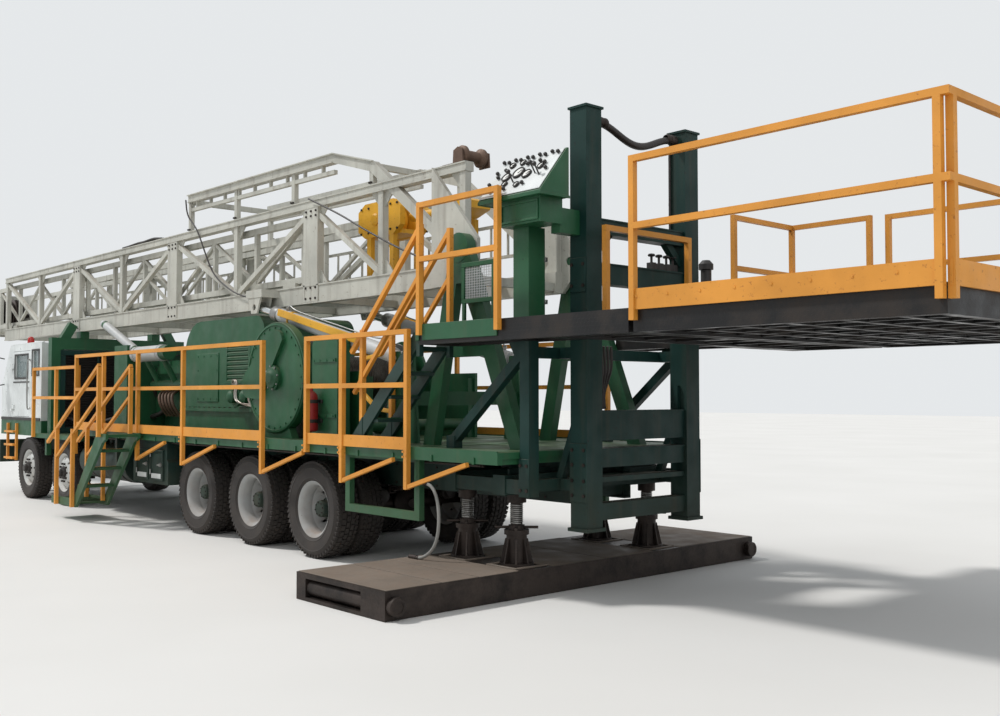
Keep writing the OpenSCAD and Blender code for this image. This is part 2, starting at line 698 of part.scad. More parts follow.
module mast_lower() {
  color("#dcdcd2") {
    both_sides() {
      // keel and top chord
      span([mast_front, mast_half - chord_w, mast_z], [mast_rear, mast_half, mast_z + keel_h]);
      span([mast_front, mast_half - chord_w, mast_top - 100], [mast_rear, mast_half, mast_top]);
    }
    both_sides() mast_panels();
    // bottom bracing
    for (i = [0:10]) {
      x = mast_front + 60 + i * (lower_l - 120) / 10;
      span([x - 45, -mast_half + chord_w - 1, mast_z + 20], [x + 45, mast_half - chord_w + 1, mast_z + 110]);
    }
    // pivot lugs at the foot
    both_sides() difference() {
      xz_plate([[mast_rear - 500, mast_z], [mast_rear, mast_z], [pivot.x + 130, pivot.z - 100],
                [pivot.x + 130, pivot.z + 100], [mast_rear - 500, mast_top]],
               mast_half - 1, mast_half + 45);
      y_cyl([pivot.x, mast_half + 20, pivot.z], pivot_pin_d + 0.1, 80);
    }
    // lugs for the raising cylinders
    both_sides() for (s = [-1, 1]) difference() {
      xz_plate([[cyl_eye.x - 190, mast_z + 200], [cyl_eye.x - 70, mast_z - 80],
                [cyl_eye.x + 70, mast_z - 80], [cyl_eye.x + 190, mast_z + 200]],
               cyl_y + s * 75 - 12, cyl_y + s * 75 + 12);
      y_cyl([cyl_eye.x, cyl_y + s * 75, cyl_eye.z], cyl_pin_d + 20, 40);
    }
    both_sides() span([cyl_eye.x - 200, mast_half - 1, mast_z + 120],
                      [cyl_eye.x + 200, cyl_y + 95, mast_z + 220]);
    mast_hump();
  }
}

// Posts of one side, with braces from the head of each wide post to the feet of its neighbours;
// the leg of the guard frame braces the bay at the pivot
module mast_panels() {
  y = mast_half - post_w / 2;
  z0 = mast_z + keel_h - 1;
  z1 = mast_top - 99;
  n = len(mast_posts) - 1;
  for (i = [0:n]) {
    wide = i > 0 && i < n && i % 2 == 0;
    w = wide ? wide_post : post_w;
    span([mast_posts[i] - w / 2, y - 40, wide ? mast_z + 30 : z0],
         [mast_posts[i] + w / 2, y + (wide ? 52 : 40), z1]);
    if (i > 0 && i < n) {
      head = i % 2 == 0 ? i : i + 1;
      foot = i % 2 == 0 ? i + 1 : i;
      bar([mast_posts[head], y, z1 - 10], [mast_posts[foot], y, z0 + 10], 62, 66);
    }
  }
}

// Raised guard frame over the travelling block
module mast_hump() {
  y = mast_half - 50;
  both_sides() {
    xz_plate([[-4330, mast_top + 535], [-460, mast_top + 495], [360, mast_top + 270],
              [1700, mast_top - 780], [1640, mast_top - 860], [300, mast_top + 160],
              [-470, mast_top + 385], [-4330, mast_top + 425]], y - 40, y + 40);
    for (x = [-4290, -2900, -1400])
      span([x - 35, y - 30, mast_top - 10], [x + 35, y + 30, mast_top + 440]);
    span([270, y - 30, mast_top - 10], [340, y + 30, mast_top + 200]);
  }
  for (x = [-4270, -480]) span([x - 35, -y, mast_top + 400], [x + 35, y, mast_top + 470]);
}

module mast_upper() {
  w = 80;
  color("#d4d5cb") {
    both_sides() {
      span([upper_front, upper_half - w, upper_z0], [upper_rear, upper_half, upper_z0 + w]);
      span([upper_front, upper_half - w, upper_z1 - w], [upper_rear, upper_half, upper_z1]);
      // wear shoes on the keels
      for (x = [mast_front + 300, upper_rear - 300])
        span([x - 150, upper_half - w + 10, mast_z + keel_h + e],
             [x + 150, mast_half - chord_w + 20, upper_z0 + 10]);
    }
    lattice(upper_front + 40, upper_rear - 40, 11, upper_half, upper_z0 + w - 1, upper_z1 - w + 1, 60);
    for (i = [0:11]) {
      x = upper_front + 40 + i * (upper_l - 80) / 11;
      span([x - 30, -upper_half + w - 1, upper_z0], [x + 30, upper_half - w + 1, upper_z0 + 60]);
    }
    // crown frame
    both_sides() difference() {
      span([upper_front - crown_l, upper_half - 20, upper_z0 - 60], [upper_front + 20, upper_half + 20, upper_z1 + 60]);
      y_cyl([upper_front - 450, upper_half, (upper_z0 + upper_z1) / 2], 100.1, 60);
    }
    span([upper_front - crown_l, -upper_half, upper_z0 - 60], [upper_front - crown_l + 40, upper_half, upper_z1 + 60]);
    span([upper_front - 30, -upper_half, upper_z0 - 60], [upper_front + 10, upper_half, upper_z0 + 200]);
  }
}

module crown_sheaves() {
  c = [upper_front - 450, 0, (upper_z0 + upper_z1) / 2];
  color("#8a8d88") {
    y_cyl(c, 100, 2 * upper_half + 40);
    for (i = [-2:2]) translate(c + [0, i * 150, 0]) rotate([90, 0, 0])
      rotate_extrude() polygon([[49, -45], [sheave_d / 2, -45], [sheave_d / 2, -30],
        [sheave_d / 2 - 40, 0], [sheave_d / 2, 30], [sheave_d / 2, 45], [49, 45]]);
  }
}

module travelling_block() {
  z = mast_z + 1000;
  color("#d9a21e") {
    // side plates with the sheaves between them, and the hook block behind
    xz_plate([[-620, z - 120], [-480, z - 210], [100, z - 210], [240, z - 110],
              [240, z + 110], [100, z + 210], [-480, z + 210], [-620, z + 120]], -220, -150);
    xz_plate([[-620, z - 120], [-480, z - 210], [100, z - 210], [240, z - 110],
              [240, z + 110], [100, z + 210], [-480, z + 210], [-620, z + 120]], 150, 220);
    for (y = [-95, 0, 95]) y_cyl([-260, y, z], 380, 60);
    y_cyl([-260, 0, z], 110, 301);
    span([-560, -151, z - 200], [180, 151, z - 150]);
    rod([200, 0, z], [900, 0, z - 30], 120);
    xz_plate([[880, z - 130], [1200, z - 130], [1420, z - 60], [1420, z + 20], [1200, z + 90], [880, z + 90]], -150, 150);
    // cradle on the keels
    for (x = [-400, 60, 1100]) span([x - 40, -mast_half + chord_w + e, mast_z + keel_h - 100],
                                    [x + 40, mast_half - chord_w - e, mast_z + keel_h - 20]);
    for (x = [-400, 60, 1100]) for (s = [-1, 1])
      span([x - 40, s * 185 - 30, mast_z + keel_h - 21], [x + 40, s * 185 + 30, x > 1000 ? z - 129 : z - 205]);
    for (s = [-1, 1]) span([1060, s * 185 - 36, z - 130], [1140, s * 110, z - 60]);
  }
}

module rear_frame() {
  color("#174f30") {
    both_sides() {
      // tall columns
      span([col_x - 100, col_y - column_w / 2, 630], [col_x + 100, col_y + column_w / 2, column_top]);
      // short posts under the floor
      span([post_x - 60, post_y - 60, 900], [post_x + 60, post_y + 60, floor_z - floor_deep - e]);
      // outriggers over the jacks
      for (x = jack_x) span([x - 80, rail_half + e, jack_top + e], [x + 80, post_y + 60, jack_top + 180]);
      span([jack_x[0] - 80, post_y - 50, jack_top + 20], [post_x + 60, post_y + 50, jack_top + 150]);
      // brace from the deck edge to the floor
      bar([2300, post_y, 1380], [post_x, post_y, 2240], 80, 90);
      xz_plate([[post_x - 61 + e, 1960], [post_x - 260, floor_z - floor_deep - e], [post_x - 59, floor_z - floor_deep - e]],
               post_y - 12, post_y + 12);
      // cap and shoe of the tall column
      span([col_x - 115, col_y - column_w / 2 - 15, column_top - 1], [col_x + 115, col_y + column_w / 2 + 15, column_top + 20]);
      span([col_x - 120, col_y - column_w / 2 - 20, 600], [col_x + 120, col_y + column_w / 2 + 20, 631]);
      // stiffeners of the outrigger
      for (x = jack_x) xz_plate([[x - 12, jack_top + 179], [x + 12, jack_top + 179], [x + 12, deck_under - fascia_deep], [x - 12, deck_under - fascia_deep]],
                                rail_half + 60, post_y - 60);
      span([2230, post_y - 50, deck_z + e], [2350, post_y + 50, 1420]);
      // ties between the posts and the columns
      for (z = [950, 2140]) span([post_x + 59, col_y - 50, z], [col_x - 99, col_y + 50, z + 100]);
      bar([post_x + 20, col_y, 1040], [col_x - 60, col_y, 1700], 70, 70);
    }
    for (z = [950, 2140]) span([post_x - 50, -post_y, z], [post_x + 50, post_y, z + 100]);
    // cross beams between the tall columns
    for (z = [[690, 840], [1030, 1075], [1160, 1330], [1400, 1670], [2810, 3000], [3260, 3400]])
      span([col_x - 70, -col_y + 90, z[0]], [col_x + 70, col_y - 90, z[1]]);
    // knees under the top beam
    both_sides() bar([col_x, col_y - 90, 3080], [col_x, col_y - 300, 3290], 70, 70);
    // hose unions near the column tops
    both_sides()
      rod([col_x, col_y - column_w / 2 + 1, column_hose_z], [col_x, column_hose_half + e, column_hose_z], 110);
  }
}

// Screw jack: ribbed foot, threaded stem with its handwheel nut, and head
module screw_jacks() {
  color("#3a3432") for (x = jack_x, s = [-1, 1]) translate([x, s * jack_y, mat_t + e]) {
    h = jack_top - mat_t - e;
    cylinder(d = 320, h = 30);
    translate([0, 0, 29]) cylinder(d = 190, h = 260);
    for (a = [0:45:135]) rotate([0, 0, a]) rotate([90, 0, 0]) linear_extrude(16, center = true)
      polygon([[-155, 29], [155, 29], [105, 250], [-105, 250]]);
    translate([0, 0, 288]) cylinder(d = 230, h = 44);
    translate([0, 0, 331]) cylinder(d = 110, h = h - 410);
    for (a = [0:3]) rotate([0, 0, 45 + 90 * a]) rod([60, 0, 352], [200, 0, 352], 26);
    translate([0, 0, 331]) cylinder(d = 150, h = 42);
    translate([0, 0, h - 80]) cylinder(d = 180, h = 80);
  }
}

// Beam under the jacks, with a pull pipe across the pocket at each end
module base_beam() {
  x0 = mat_x - mat_w / 2;
  x1 = mat_x + mat_w / 2;
  y0 = mat_y - mat_l / 2;
  y1 = mat_y + mat_l / 2;
  color("#3b322e") {
    difference() {
      span([x0, y0, 0], [x1, y1, mat_t]);
      for (y = [y0, y1]) span([x0 + 150, y - 190, 30], [x1 - 340, y + 190, mat_t - 45]);
    }
    for (y = [y0 + pipe_d / 2 + 10, y1 - pipe_d / 2 - 10])
      rod([x0 + 100, y, mat_t / 2 - 8], [x1 + 60, y, mat_t / 2 - 8], pipe_d);
    // union of the air hose
    rod(air_hose_end - [e, 0, 0], air_hose_end - [80, 0, 0], 46);
  }
}

// Solid of a profile in Y and Z between two values of X
module yz_prism(pts, x0, x1) {
  translate([x0, 0, 0]) rotate([90, 0, 90]) linear_extrude(x1 - x0) polygon(pts);
}

// Driller's console: post, valve box, sloping gauge panel and the bracket to the tall column
module driller_console() {
  x0 = console_x[0];
  x1 = console_x[1];
  z = console_z;
  front = floor_y0 + 10;
  back = floor_y0 + 350;
  color("#1c6b3a") {
    span([post_x - 100, back - 130, floor_z + e], [post_x + 100, back + 70, z - 219]);
    span([x0 + 200, front + 80, z - 220], [x1 - 80, back + 10, z + 1]);
    yz_prism([[front, z], [front, z + 30], [back - 10, z + 440], [back + 10, z + 440], [back + 10, z]], x0, x1);
    span([x1 - 210, back, 3230], [x1 - 100, -col_y - column_w / 2 - e, 3450]);
  }
}

module floor_grid(x0, x1, y0, y1) {
  z0 = floor_z - floor_deep;
  span([x0, y0, floor_z - 30], [x1, y1, floor_z]);
  span([x0, y0, z0], [x1, y0 + 80, floor_z]);
  span([x0, y1 - 80, z0], [x1, y1, floor_z]);
  span([x0, y0, z0], [x0 + 80, y1, floor_z]);
  span([x1 - 80, y0, z0], [x1, y1, floor_z]);
  n = max(1, round((y1 - y0) / 700));
  for (i = [1:n - 1]) if (n > 1) span([x0, y0 + i * (y1 - y0) / n - 40, z0 + 30],
                                      [x1, y0 + i * (y1 - y0) / n + 40, floor_z]);
}

module work_floor() {
  color("#26302b") {
    floor_grid(2150, floor_x0 + 1, floor_y0, -900);
    floor_grid(2600, floor_x0 + 1, 900, 1400);
    floor_grid(3750, floor_x0 + 1, 1340, floor_y1);
    floor_grid(floor_x0, fold_x - 10, floor_y0, floor_y1);
    // hinge lugs of the folding platform
    for (y = hinge_ys) difference() {
      span([fold_x - 90, y - 40, floor_z - 30], [fold_x + 30, y + 40, floor_z + 60]);
      span([fold_x - 9, y - 41, floor_z - 31], [fold_x + 31, y + 41, floor_z + 2]);
      y_cyl([fold_x, y, floor_z + 32], 36.1, 100);
    }
  }
}

module floor_railings() {
  z1 = floor_z + 1170;
  zm = floor_z + 650;
  color("#d98a2b") {
    post_row([2180, 3300], floor_y0 - rail_tube / 2 - e, floor_z - 100, z1);
    run_x(2155, 3325, floor_y0 - rail_tube / 2 - e, [z1, zm]);
    yr = floor_y1 - 65;
    post_row([3790, 4700], yr, floor_z + e, z1);
    run_x(3765, 4725, yr, [z1, zm]);
    span([3790, yr - 10, floor_z + e], [4700, yr + 10, floor_z + 120]);
    // rail across the front of the right-hand bay
    post_row([3790], 1375, floor_z + e, z1);
    for (z = [z1, zm]) span([3765, 1350, z - rail_tube], [3815, yr + 25, z]);
    // low bar across the well side of the main floor
    for (y = [-725, 425]) post_row([floor_x0 + 45], y, floor_z + e, 3300);
    span([floor_x0 + 20, -750, 3250], [floor_x0 + 70, 450, 3300]);
  }
}

module folding_platform() {
  color("#26302b") {
    floor_grid(fold_x + 40, fold_x1, floor_y0, floor_y1);
    // hinge pins between round eyes on straight arms
    for (y = hinge_ys) {
      y_cyl([fold_x, y, floor_z + 32], 36, 176);
      for (s = [-1, 1]) {
        y_cyl([fold_x, y + s * 66, floor_z + 32], 56, 40);
        span([fold_x, y + s * 66 - 18, floor_z + 12], [fold_x + 130, y + s * 66 + 18, floor_z + 52]);
        span([fold_x + 50, y + s * 66 - 14, floor_z - 5], [fold_x + 120, y + s * 66 + 14, floor_z + 20]);
      }
    }
  }
}

module folding_railings() {
  z1 = floor_z + 1170;
  zm = floor_z + 650;
  yo = rail_tube / 2 + e;
  color("#d98a2b") {
    for (y = [floor_y0 - yo, floor_y1 + yo]) {
      post_row([fold_x + 60, fold_x1 - 30], y, floor_z - 100, z1);
      run_x(fold_x + 35, fold_x1 + 50, y, [z1, zm]);
      span([fold_x + 60, y - 10, floor_z - 20], [fold_x1, y + 10, floor_z + 140]);
    }
    for (z = [z1, zm]) span([fold_x1 + e, floor_y0 - yo, z - rail_tube], [fold_x1 + 50, floor_y1 + yo, z]);
    for (y = [floor_y0 + 30, 400, floor_y1 - 30]) span([fold_x1 + e, y - 25, floor_z - 100], [fold_x1 + 50, y + 25, z1]);
    span([fold_x1 + 15, floor_y0, floor_z - 20], [fold_x1 + 35, floor_y1, floor_z + 140]);
  }
}

// Steering knuckle with its kingpin and stub axle; side is -1 left or 1 right
module knuckle(i, side) {
  color("#39413c") translate([axle_x[i], side * king_y, axle_z]) mirror([0, side > 0 ? 0 : 1, 0]) {
    for (s = [-1, 1]) span([-58, -56, s * 65], [58, 130, s * 120]);
    span([-60, 72, -122], [60, 132, 122]);
    translate([0, 0, -100]) cylinder(d = kingpin_d, h = 200);
    rotate([-90, 0, 0]) translate([0, 0, 120]) cylinder(d = stub_d, h = track_half - king_y - 120 + 40);
  }
}

// Tyre section turned about Y
module tyre() {
  r = tyre_d / 2;
  k = rim_d / 2;
  w = tyre_w / 2;
  rotate([90, 0, 0]) rotate_extrude() polygon([[k, -w + 45], [k + 40, -w + 12], [r - 110, -w],
    [r - 35, -w + 18], [r, -w + 50], [r, w - 50], [r - 35, w - 18], [r - 110, w],
    [k + 40, w - 12], [k, w - 45]]);
}

// Rim barrel with a dished disc whose mounting face lies at y = f
module rim(f, bore) {
  k = rim_d / 2;
  w = tyre_w / 2;
  s = sign(f);
  rotate([-90, 0, 0]) rotate_extrude() {
    polygon([[k - 14, -w + 38], [k + 1, -w + 38], [k + 1, w - 38], [k - 14, w - 38]]);
    polygon([[k - 8, s * 60], [k - 8, s * 84], [190, f], [bore, f], [bore, f - s * 16], [184, f - s * 16]]);
  }
}

module hub(y0, y1, d0, bore_d) {
  rotate([-90, 0, 0]) difference() {
    translate([0, 0, y0]) cylinder(d = d0, h = y1 - y0);
    translate([0, 0, y0 - 1]) cylinder(d = bore_d, h = y1 - y0 + 2);
  }
}

module front_wheel(i, side) {
  color("#1e1e1e") translate([axle_x[i], side * track_half, axle_z]) mirror([0, side > 0 ? 0 : 1, 0]) {
    tyre();
    rim(120, stub_d / 2 + 0.05);
    hub(-140, 119, 250, stub_d + 0.1);
    rotate([-90, 0, 0]) translate([0, 0, 110]) cylinder(d = 180, h = 60);
  }
}

module rear_wheel(i, side) {
  color("#1e1e1e") translate([axle_x[i], side * track_half, axle_z]) mirror([0, side > 0 ? 0 : 1, 0]) {
    tyre();
    rim(-hub_w, spindle_d / 2 + 0.05);
    translate([0, -2 * hub_w, 0]) {
      tyre();
      rim(hub_w, spindle_d / 2 + 0.05);
    }
    hub(-2 * hub_w - 60, 4, 240, spindle_d + 0.1);
    rotate([-90, 0, 0]) translate([0, 0, 3]) cylinder(d = 240, h = 40);
  }
}

module at_origin() {
  translate([-x_mid, -y_mid, 0]) children();
}

at_origin() chassis_frame();
at_origin() axles();
at_origin() air_hose();
at_origin() column_hose();
at_origin() deck();
at_origin() deck_railings();
at_origin() cab_shell();
at_origin() cab_glass();
at_origin() cab_interior();
at_origin() cab_door(-1);  // cab_door_left
at_origin() cab_door(1);  // cab_door_right
at_origin() side_lockers();
at_origin() engine();
at_origin() drive_case();
at_origin() drawworks_frame();
at_origin() drawworks_drum();
at_origin() mast_supports();
at_origin() rear_frame();
at_origin() driller_console();
at_origin() work_floor();
at_origin() floor_railings();
at_origin() folding_platform();
at_origin() folding_railings();
at_origin() screw_jacks();
at_origin() base_beam();
at_origin() mast_lower();
at_origin() mast_upper();
at_origin() crown_sheaves();
at_origin() travelling_block();
at_origin() cylinder_barrels();
at_origin() cylinder_rods();
at_origin() knuckle(0, -1);  // knuckle_1_left
at_origin() knuckle(0, 1);  // knuckle_1_right
at_origin() knuckle(1, -1);  // knuckle_2_left
at_origin() knuckle(1, 1);  // knuckle_2_right
at_origin() front_wheel(0, -1);  // wheel_1_left
at_origin() front_wheel(0, 1);  // wheel_1_right
at_origin() front_wheel(1, -1);  // wheel_2_left
at_origin() front_wheel(1, 1);  // wheel_2_right
at_origin() rear_wheel(2, -1);  // wheel_3_left
at_origin() rear_wheel(2, 1);  // wheel_3_right
at_origin() rear_wheel(3, -1);  // wheel_4_left
at_origin() rear_wheel(3, 1);  // wheel_4_right
at_origin() rear_wheel(4, -1);  // wheel_5_left
at_origin() rear_wheel(4, 1);  // wheel_5_right
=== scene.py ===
# Workover rig: looks of the five-axle carrier, its lattice mast, rear frame and work floor.
# Places are written in the carrier's own metres: last axle x = 0, middle y = 0, ground z = 0,
# front -x, driller's side -y. PLACE moves them into the frame of the solids.
import json
import math
import bpy
import bmesh
from mathutils import Vector, Matrix


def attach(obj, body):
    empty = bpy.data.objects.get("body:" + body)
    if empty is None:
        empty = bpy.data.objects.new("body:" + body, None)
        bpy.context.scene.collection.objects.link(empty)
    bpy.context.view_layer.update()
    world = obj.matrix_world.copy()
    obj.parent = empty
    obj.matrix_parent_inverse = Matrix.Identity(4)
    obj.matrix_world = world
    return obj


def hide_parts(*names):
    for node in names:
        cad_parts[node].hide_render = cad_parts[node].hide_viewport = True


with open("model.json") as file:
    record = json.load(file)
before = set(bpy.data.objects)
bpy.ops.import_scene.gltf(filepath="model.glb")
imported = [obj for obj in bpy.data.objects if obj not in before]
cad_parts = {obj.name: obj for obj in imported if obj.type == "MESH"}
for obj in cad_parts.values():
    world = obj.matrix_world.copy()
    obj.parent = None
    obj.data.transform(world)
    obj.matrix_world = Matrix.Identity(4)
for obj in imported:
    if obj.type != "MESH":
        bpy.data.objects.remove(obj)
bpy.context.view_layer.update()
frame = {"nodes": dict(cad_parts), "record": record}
scene = bpy.context.scene

# Driving sizes, the same as the solids'
PLACE = Vector((4.075, 0.02485, 0.0))
AXLES = (-9.38, -7.67, -2.82, -1.41, 0.0)
HUB_Z, TRACK, TWIN = 0.54, 1.11, 0.77
CAB_FRONT, CAB_SIDE, CAB_TOP = -11.0, 1.22, 2.74
DECK, DECK_SIDE = 1.30, 1.40
DRUM_X, DRUM_Z = -1.05, 2.02
COLUMN_X, FLOOR, BEAM_TOP = 3.68, 2.48, 0.24
JACKS = ((2.3, -0.92), (3.0, -0.92), (2.3, 0.92), (3.0, 0.92))

# Directions
X, Y, Z, LEFT, FRONT = (1, 0, 0), (0, 1, 0), (0, 0, 1), (0, -1, 0), (-1, 0, 0)


# Camera, floor and light
def set_camera():
    data = bpy.data.cameras.new("photo_view")
    data.lens, data.sensor_width, data.clip_end = 38.09, 36.0, 500.0
    cam = bpy.data.objects.new("photo_view", data)
    turn, rise = math.radians(41.92), math.radians(2.087)
    look = Vector((-math.cos(turn) * math.cos(rise), math.sin(turn) * math.cos(rise), math.sin(rise)))
    cam.location = Vector((10.198, -7.589, 1.7945)) + PLACE
    cam.rotation_euler = look.to_track_quat("-Z", "Y").to_euler()
    scene.collection.objects.link(cam)
    scene.camera = cam


set_camera()
scene.view_settings.view_transform = "Standard"


# Finishes
def tone(colour, alpha=1.0):
    """A written sRGB colour as linear light; anything else is passed on."""
    if not isinstance(colour, str):
        return colour
    parts = [int(colour[i:i + 2], 16) / 255 for i in (1, 3, 5)]
    return [c / 12.92 if c <= 0.04045 else ((c + 0.055) / 1.055) ** 2.4 for c in parts] + [alpha]


def add(tree, kind, inputs=None, **settings):
    """One node with its settings; an input is a value or another node's output."""
    n = tree.nodes.new(kind)
    for key, value in settings.items():
        setattr(n, key, value)
    for key, value in (inputs or {}).items():
        if isinstance(value, bpy.types.NodeSocket):
            tree.links.new(value, n.inputs[key])
        else:
            n.inputs[key].default_value = value
    return n


class Skin:
    """A principled material on object coordinates, with short calls for the nodes it is made of."""

    def __init__(self, name=None, mat=None):
        self.mat = mat or bpy.data.materials.new(name)
        self.mat.use_nodes = True
        self.tree = self.mat.node_tree
        if mat:
            self.shader = next(n for n in self.tree.nodes if n.type == "BSDF_PRINCIPLED")
        else:
            self.tree.nodes.clear()
            out = self.tree.nodes.new("ShaderNodeOutputMaterial")
            self.shader = self.tree.nodes.new("ShaderNodeBsdfPrincipled")
            self.tree.links.new(self.shader.outputs[0], out.inputs[0])
        self.where = self.node("TexCoord", pick="Object")

    def node(self, kind, inputs=None, pick=0, **settings):
        return add(self.tree, "ShaderNode" + kind, inputs, **settings).outputs[pick]

    def noise(self, scale, detail, rough=0.5, where=None):
        return self.node("TexNoise", {"Vector": where or self.where, "Scale": scale, "Detail": detail,
                                      "Roughness": rough})

    def spread(self, value, low, high, first=0.0, last=1.0):
        return self.node("MapRange", {0: value, 1: low, 2: high, 3: first, 4: last})

    def calc(self, operation, *values, clamp=False):
        return self.node("Math", dict(enumerate(values)), operation=operation, use_clamp=clamp)

    def mix(self, share, first, second):
        return self.node("Mix", {0: share, 6: tone(first), 7: tone(second)}, 2, data_type="RGBA")

    def part(self, vector, axis):
        return self.node("SeparateXYZ", {0: vector}, axis)

    def set(self, colour, rough=None, height=None, strength=0.2, distance=0.002, **others):
        """Joins the finished values to the shader; returns the material."""
        values = {"Base Color": colour, "Roughness": rough}
        values.update({key.replace("_", " "): value for key, value in others.items()})
        if height is not None:
            values["Normal"] = self.node("Bump", {"Strength": strength, "Distance": distance,
                                                  "Height": height})
        for key, value in values.items():
            if isinstance(value, bpy.types.NodeSocket):
                self.tree.links.new(value, self.shader.inputs[key])
            elif value is not None:
                self.shader.inputs[key].default_value = value
        return self.mat


def enamel(name, hex_code, worn, dust="#8a6a4e", dusty=0.45, chips=0.35, gloss=0.38, streaks=0.0, ior=1.5):
    """Brushed alkyd enamel on steel: faded in patches, chipped at small spots, dusty on upward faces
    and near the ground, with run marks down the sides where streaks is above 0."""
    s = Skin(name)
    patch = add(s.tree, "ShaderNodeValToRGB", {0: s.noise(1.4, 4.0, 0.6)})
    for end, place, share, lift in ((0, 0.32, 0.80, 0.0), (1, 0.70, 1.10, 0.006)):
        stop = patch.color_ramp.elements[end]
        stop.position = place
        stop.color = [min(1, c * share + lift) for c in tone(hex_code)[:3]] + [1]
    # chips of about 15 mm, drawn coarser than real so that they show
    last = s.mix(s.spread(s.noise(26.0, 6.0, 0.7), 0.66 - 0.10 * chips, 0.72), patch.outputs[0], worn)
    if streaks:
        # run marks: noise stretched 12 times along the height
        squeezed = s.node("Mapping", {0: s.where, 3: (9.0, 9.0, 0.75)})
        last = s.mix(s.spread(s.noise(1.0, 5.0, where=squeezed), 0.52, 0.78, 0.0, streaks), last, "#5b4a3a")
    # dust settles on what faces up, and near the ground
    up = s.spread(s.part(s.node("NewGeometry", pick="Normal"), 2), 0.3, 1.0)
    near = s.spread(s.part(s.where, 2), 1.3, 0.1, 0.0, 0.8)
    cloud = s.noise(5.0, 5.0)
    film = s.calc("MULTIPLY", s.calc("MAXIMUM", up, near), cloud)
    amount = s.calc("MULTIPLY", film, dusty * 1.6, clamp=True)
    rough = s.calc("ADD", s.spread(cloud, 0.3, 0.7, gloss, gloss + 0.22), amount, clamp=True)
    # brush marks and orange peel of about 6 mm
    return s.set(s.mix(amount, last, dust), rough, s.noise(90.0, 2.0), 0.18, 0.004, IOR=ior)


def metal(name, hex_code, dark, rough=0.35, grain=60.0, metallic=0.9, stain=0.4):
    """Bare or plated steel: grain of the given size, with darker oil or scale in patches."""
    s = Skin(name)
    share = s.spread(s.noise(3.5, 6.0, 0.65), 0.42, 0.68, 0.0, stain)
    fine = s.noise(grain, 3.0)
    shine = s.spread(fine, 0.3, 0.7, rough - 0.07, rough + 0.13)
    return s.set(s.mix(share, hex_code, dark), shine, fine, Metallic=metallic)


def soft(name, hex_code, dust="#7d6552", rough=0.75, dusty=0.35, scale=7.0):
    """Rubber or matt moulded plastic, greyed by dust in patches, more of it near the ground."""
    s = Skin(name)
    near = s.spread(s.part(s.where, 2), 1.2, 0.0, 0.4, 1.0)
    film = s.calc("MULTIPLY", s.noise(scale, 6.0, 0.6), near)
    amount = s.calc("MULTIPLY", film, dusty * 1.9, clamp=True)
    return s.set(s.mix(amount, hex_code, dust), rough, s.noise(160.0, 2.0), 0.25)


def chequer(name, hex_code, dust):
    """Black chequer plate: raised tears of 30 mm pitch, oily in patches."""
    s = Skin(name)
    turned = s.node("Mapping", {0: s.where, 2: (0, 0, 0.785), 3: (33.0, 33.0, 33.0)})
    tears = s.node("TexChecker", {0: turned, 3: 1.0}, 1)
    cloud = s.noise(2.4, 6.0, 0.65)
    colour = s.mix(s.spread(cloud, 0.45, 0.7, 0.05, 0.75), hex_code, dust)
    return s.set(colour, s.spread(cloud, 0.35, 0.65, 0.32, 0.7), tears, 0.35, 0.003, Metallic=0.35)


def clear(name, hex_code, rough=0.06):
    """Tinted window glass with a film of dust."""
    s = Skin(name)
    cloud = s.noise(6.0, 4.0)
    film = s.spread(cloud, 0.35, 0.75, rough, rough + 0.22)
    return s.set(s.mix(cloud, hex_code, "#c3cdc9"), film, Transmission_Weight=0.75, IOR=1.5)


green = enamel("green_alkyd_enamel", "#12512f", "#0f2d1e", dusty=0.2, streaks=0.2)
dark_green = enamel("dark_green_alkyd_enamel", "#0c302b", "#1b1a17", dusty=0.2, chips=0.6, streaks=0.2,
                    ior=1.32)
orange = enamel("orange_yellow_enamel", "#dd9433", "#8a4a1c", dusty=0.2, chips=0.55, gloss=0.42)
yellow = enamel("lifting_yellow_enamel", "#dfa51f", "#5b4118", dusty=0.2, chips=0.5)
mast_white = enamel("mast_white_enamel", "#bdbcb1", "#6e5a48", dusty=0.3, chips=0.45, gloss=0.5, streaks=0.45)
cab_white = enamel("cab_white_enamel", "#dde1df", "#8d8378", dusty=0.3, chips=0.05, gloss=0.22, streaks=0.12)
rim_white = enamel("front_rim_white_enamel", "#c9ccc9", "#5d4d40", dusty=0.45, chips=0.4, gloss=0.35)
rim_grey = enamel("rear_rim_grey_enamel", "#a3a8a8", "#55493f", dusty=0.55, chips=0.35, gloss=0.4)
dial_white = enamel("dial_card_white", "#ecebe4", "#c9c6ba", dusty=0.05, chips=0.0, gloss=0.3)
silver = enamel("aluminium_paint", "#b9bcbb", "#6b675f", dusty=0.25, chips=0.2, gloss=0.34)
red = enamel("signal_red_enamel", "#a01f20", "#421010", dusty=0.25, chips=0.3, gloss=0.3)
worn_plate = enamel("worn_beam_plate", "#70675d", "#4a4038", dusty=0.2, chips=0.5, gloss=0.5)
oily_steel = metal("oily_black_steel", "#3a312c", "#15110f", rough=0.5, metallic=0.55, stain=0.9)
bright_steel = metal("worked_steel", "#9a9a97", "#4b4640", rough=0.36)
rod_chrome = metal("hard_chrome", "#c9cdce", "#8c8f90", rough=0.14, grain=120.0, metallic=1.0, stain=0.25)
scorched = metal("heat_stained_steel", "#a7a39b", "#6a4a34", rough=0.42, stain=0.7)
rope_steel = metal("greased_rope_wire", "#5a5650", "#221e1a", rough=0.48, grain=220.0, stain=0.8)
rusty_steel = metal("rusted_steel", "#6b5546", "#3d2a20", rough=0.6, metallic=0.35, stain=0.7)
rubber = soft("tyre_rubber", "#1b1919", dust="#54493f", dusty=0.28)
hose_rubber = soft("hose_rubber", "#141416", rough=0.5, dusty=0.18)
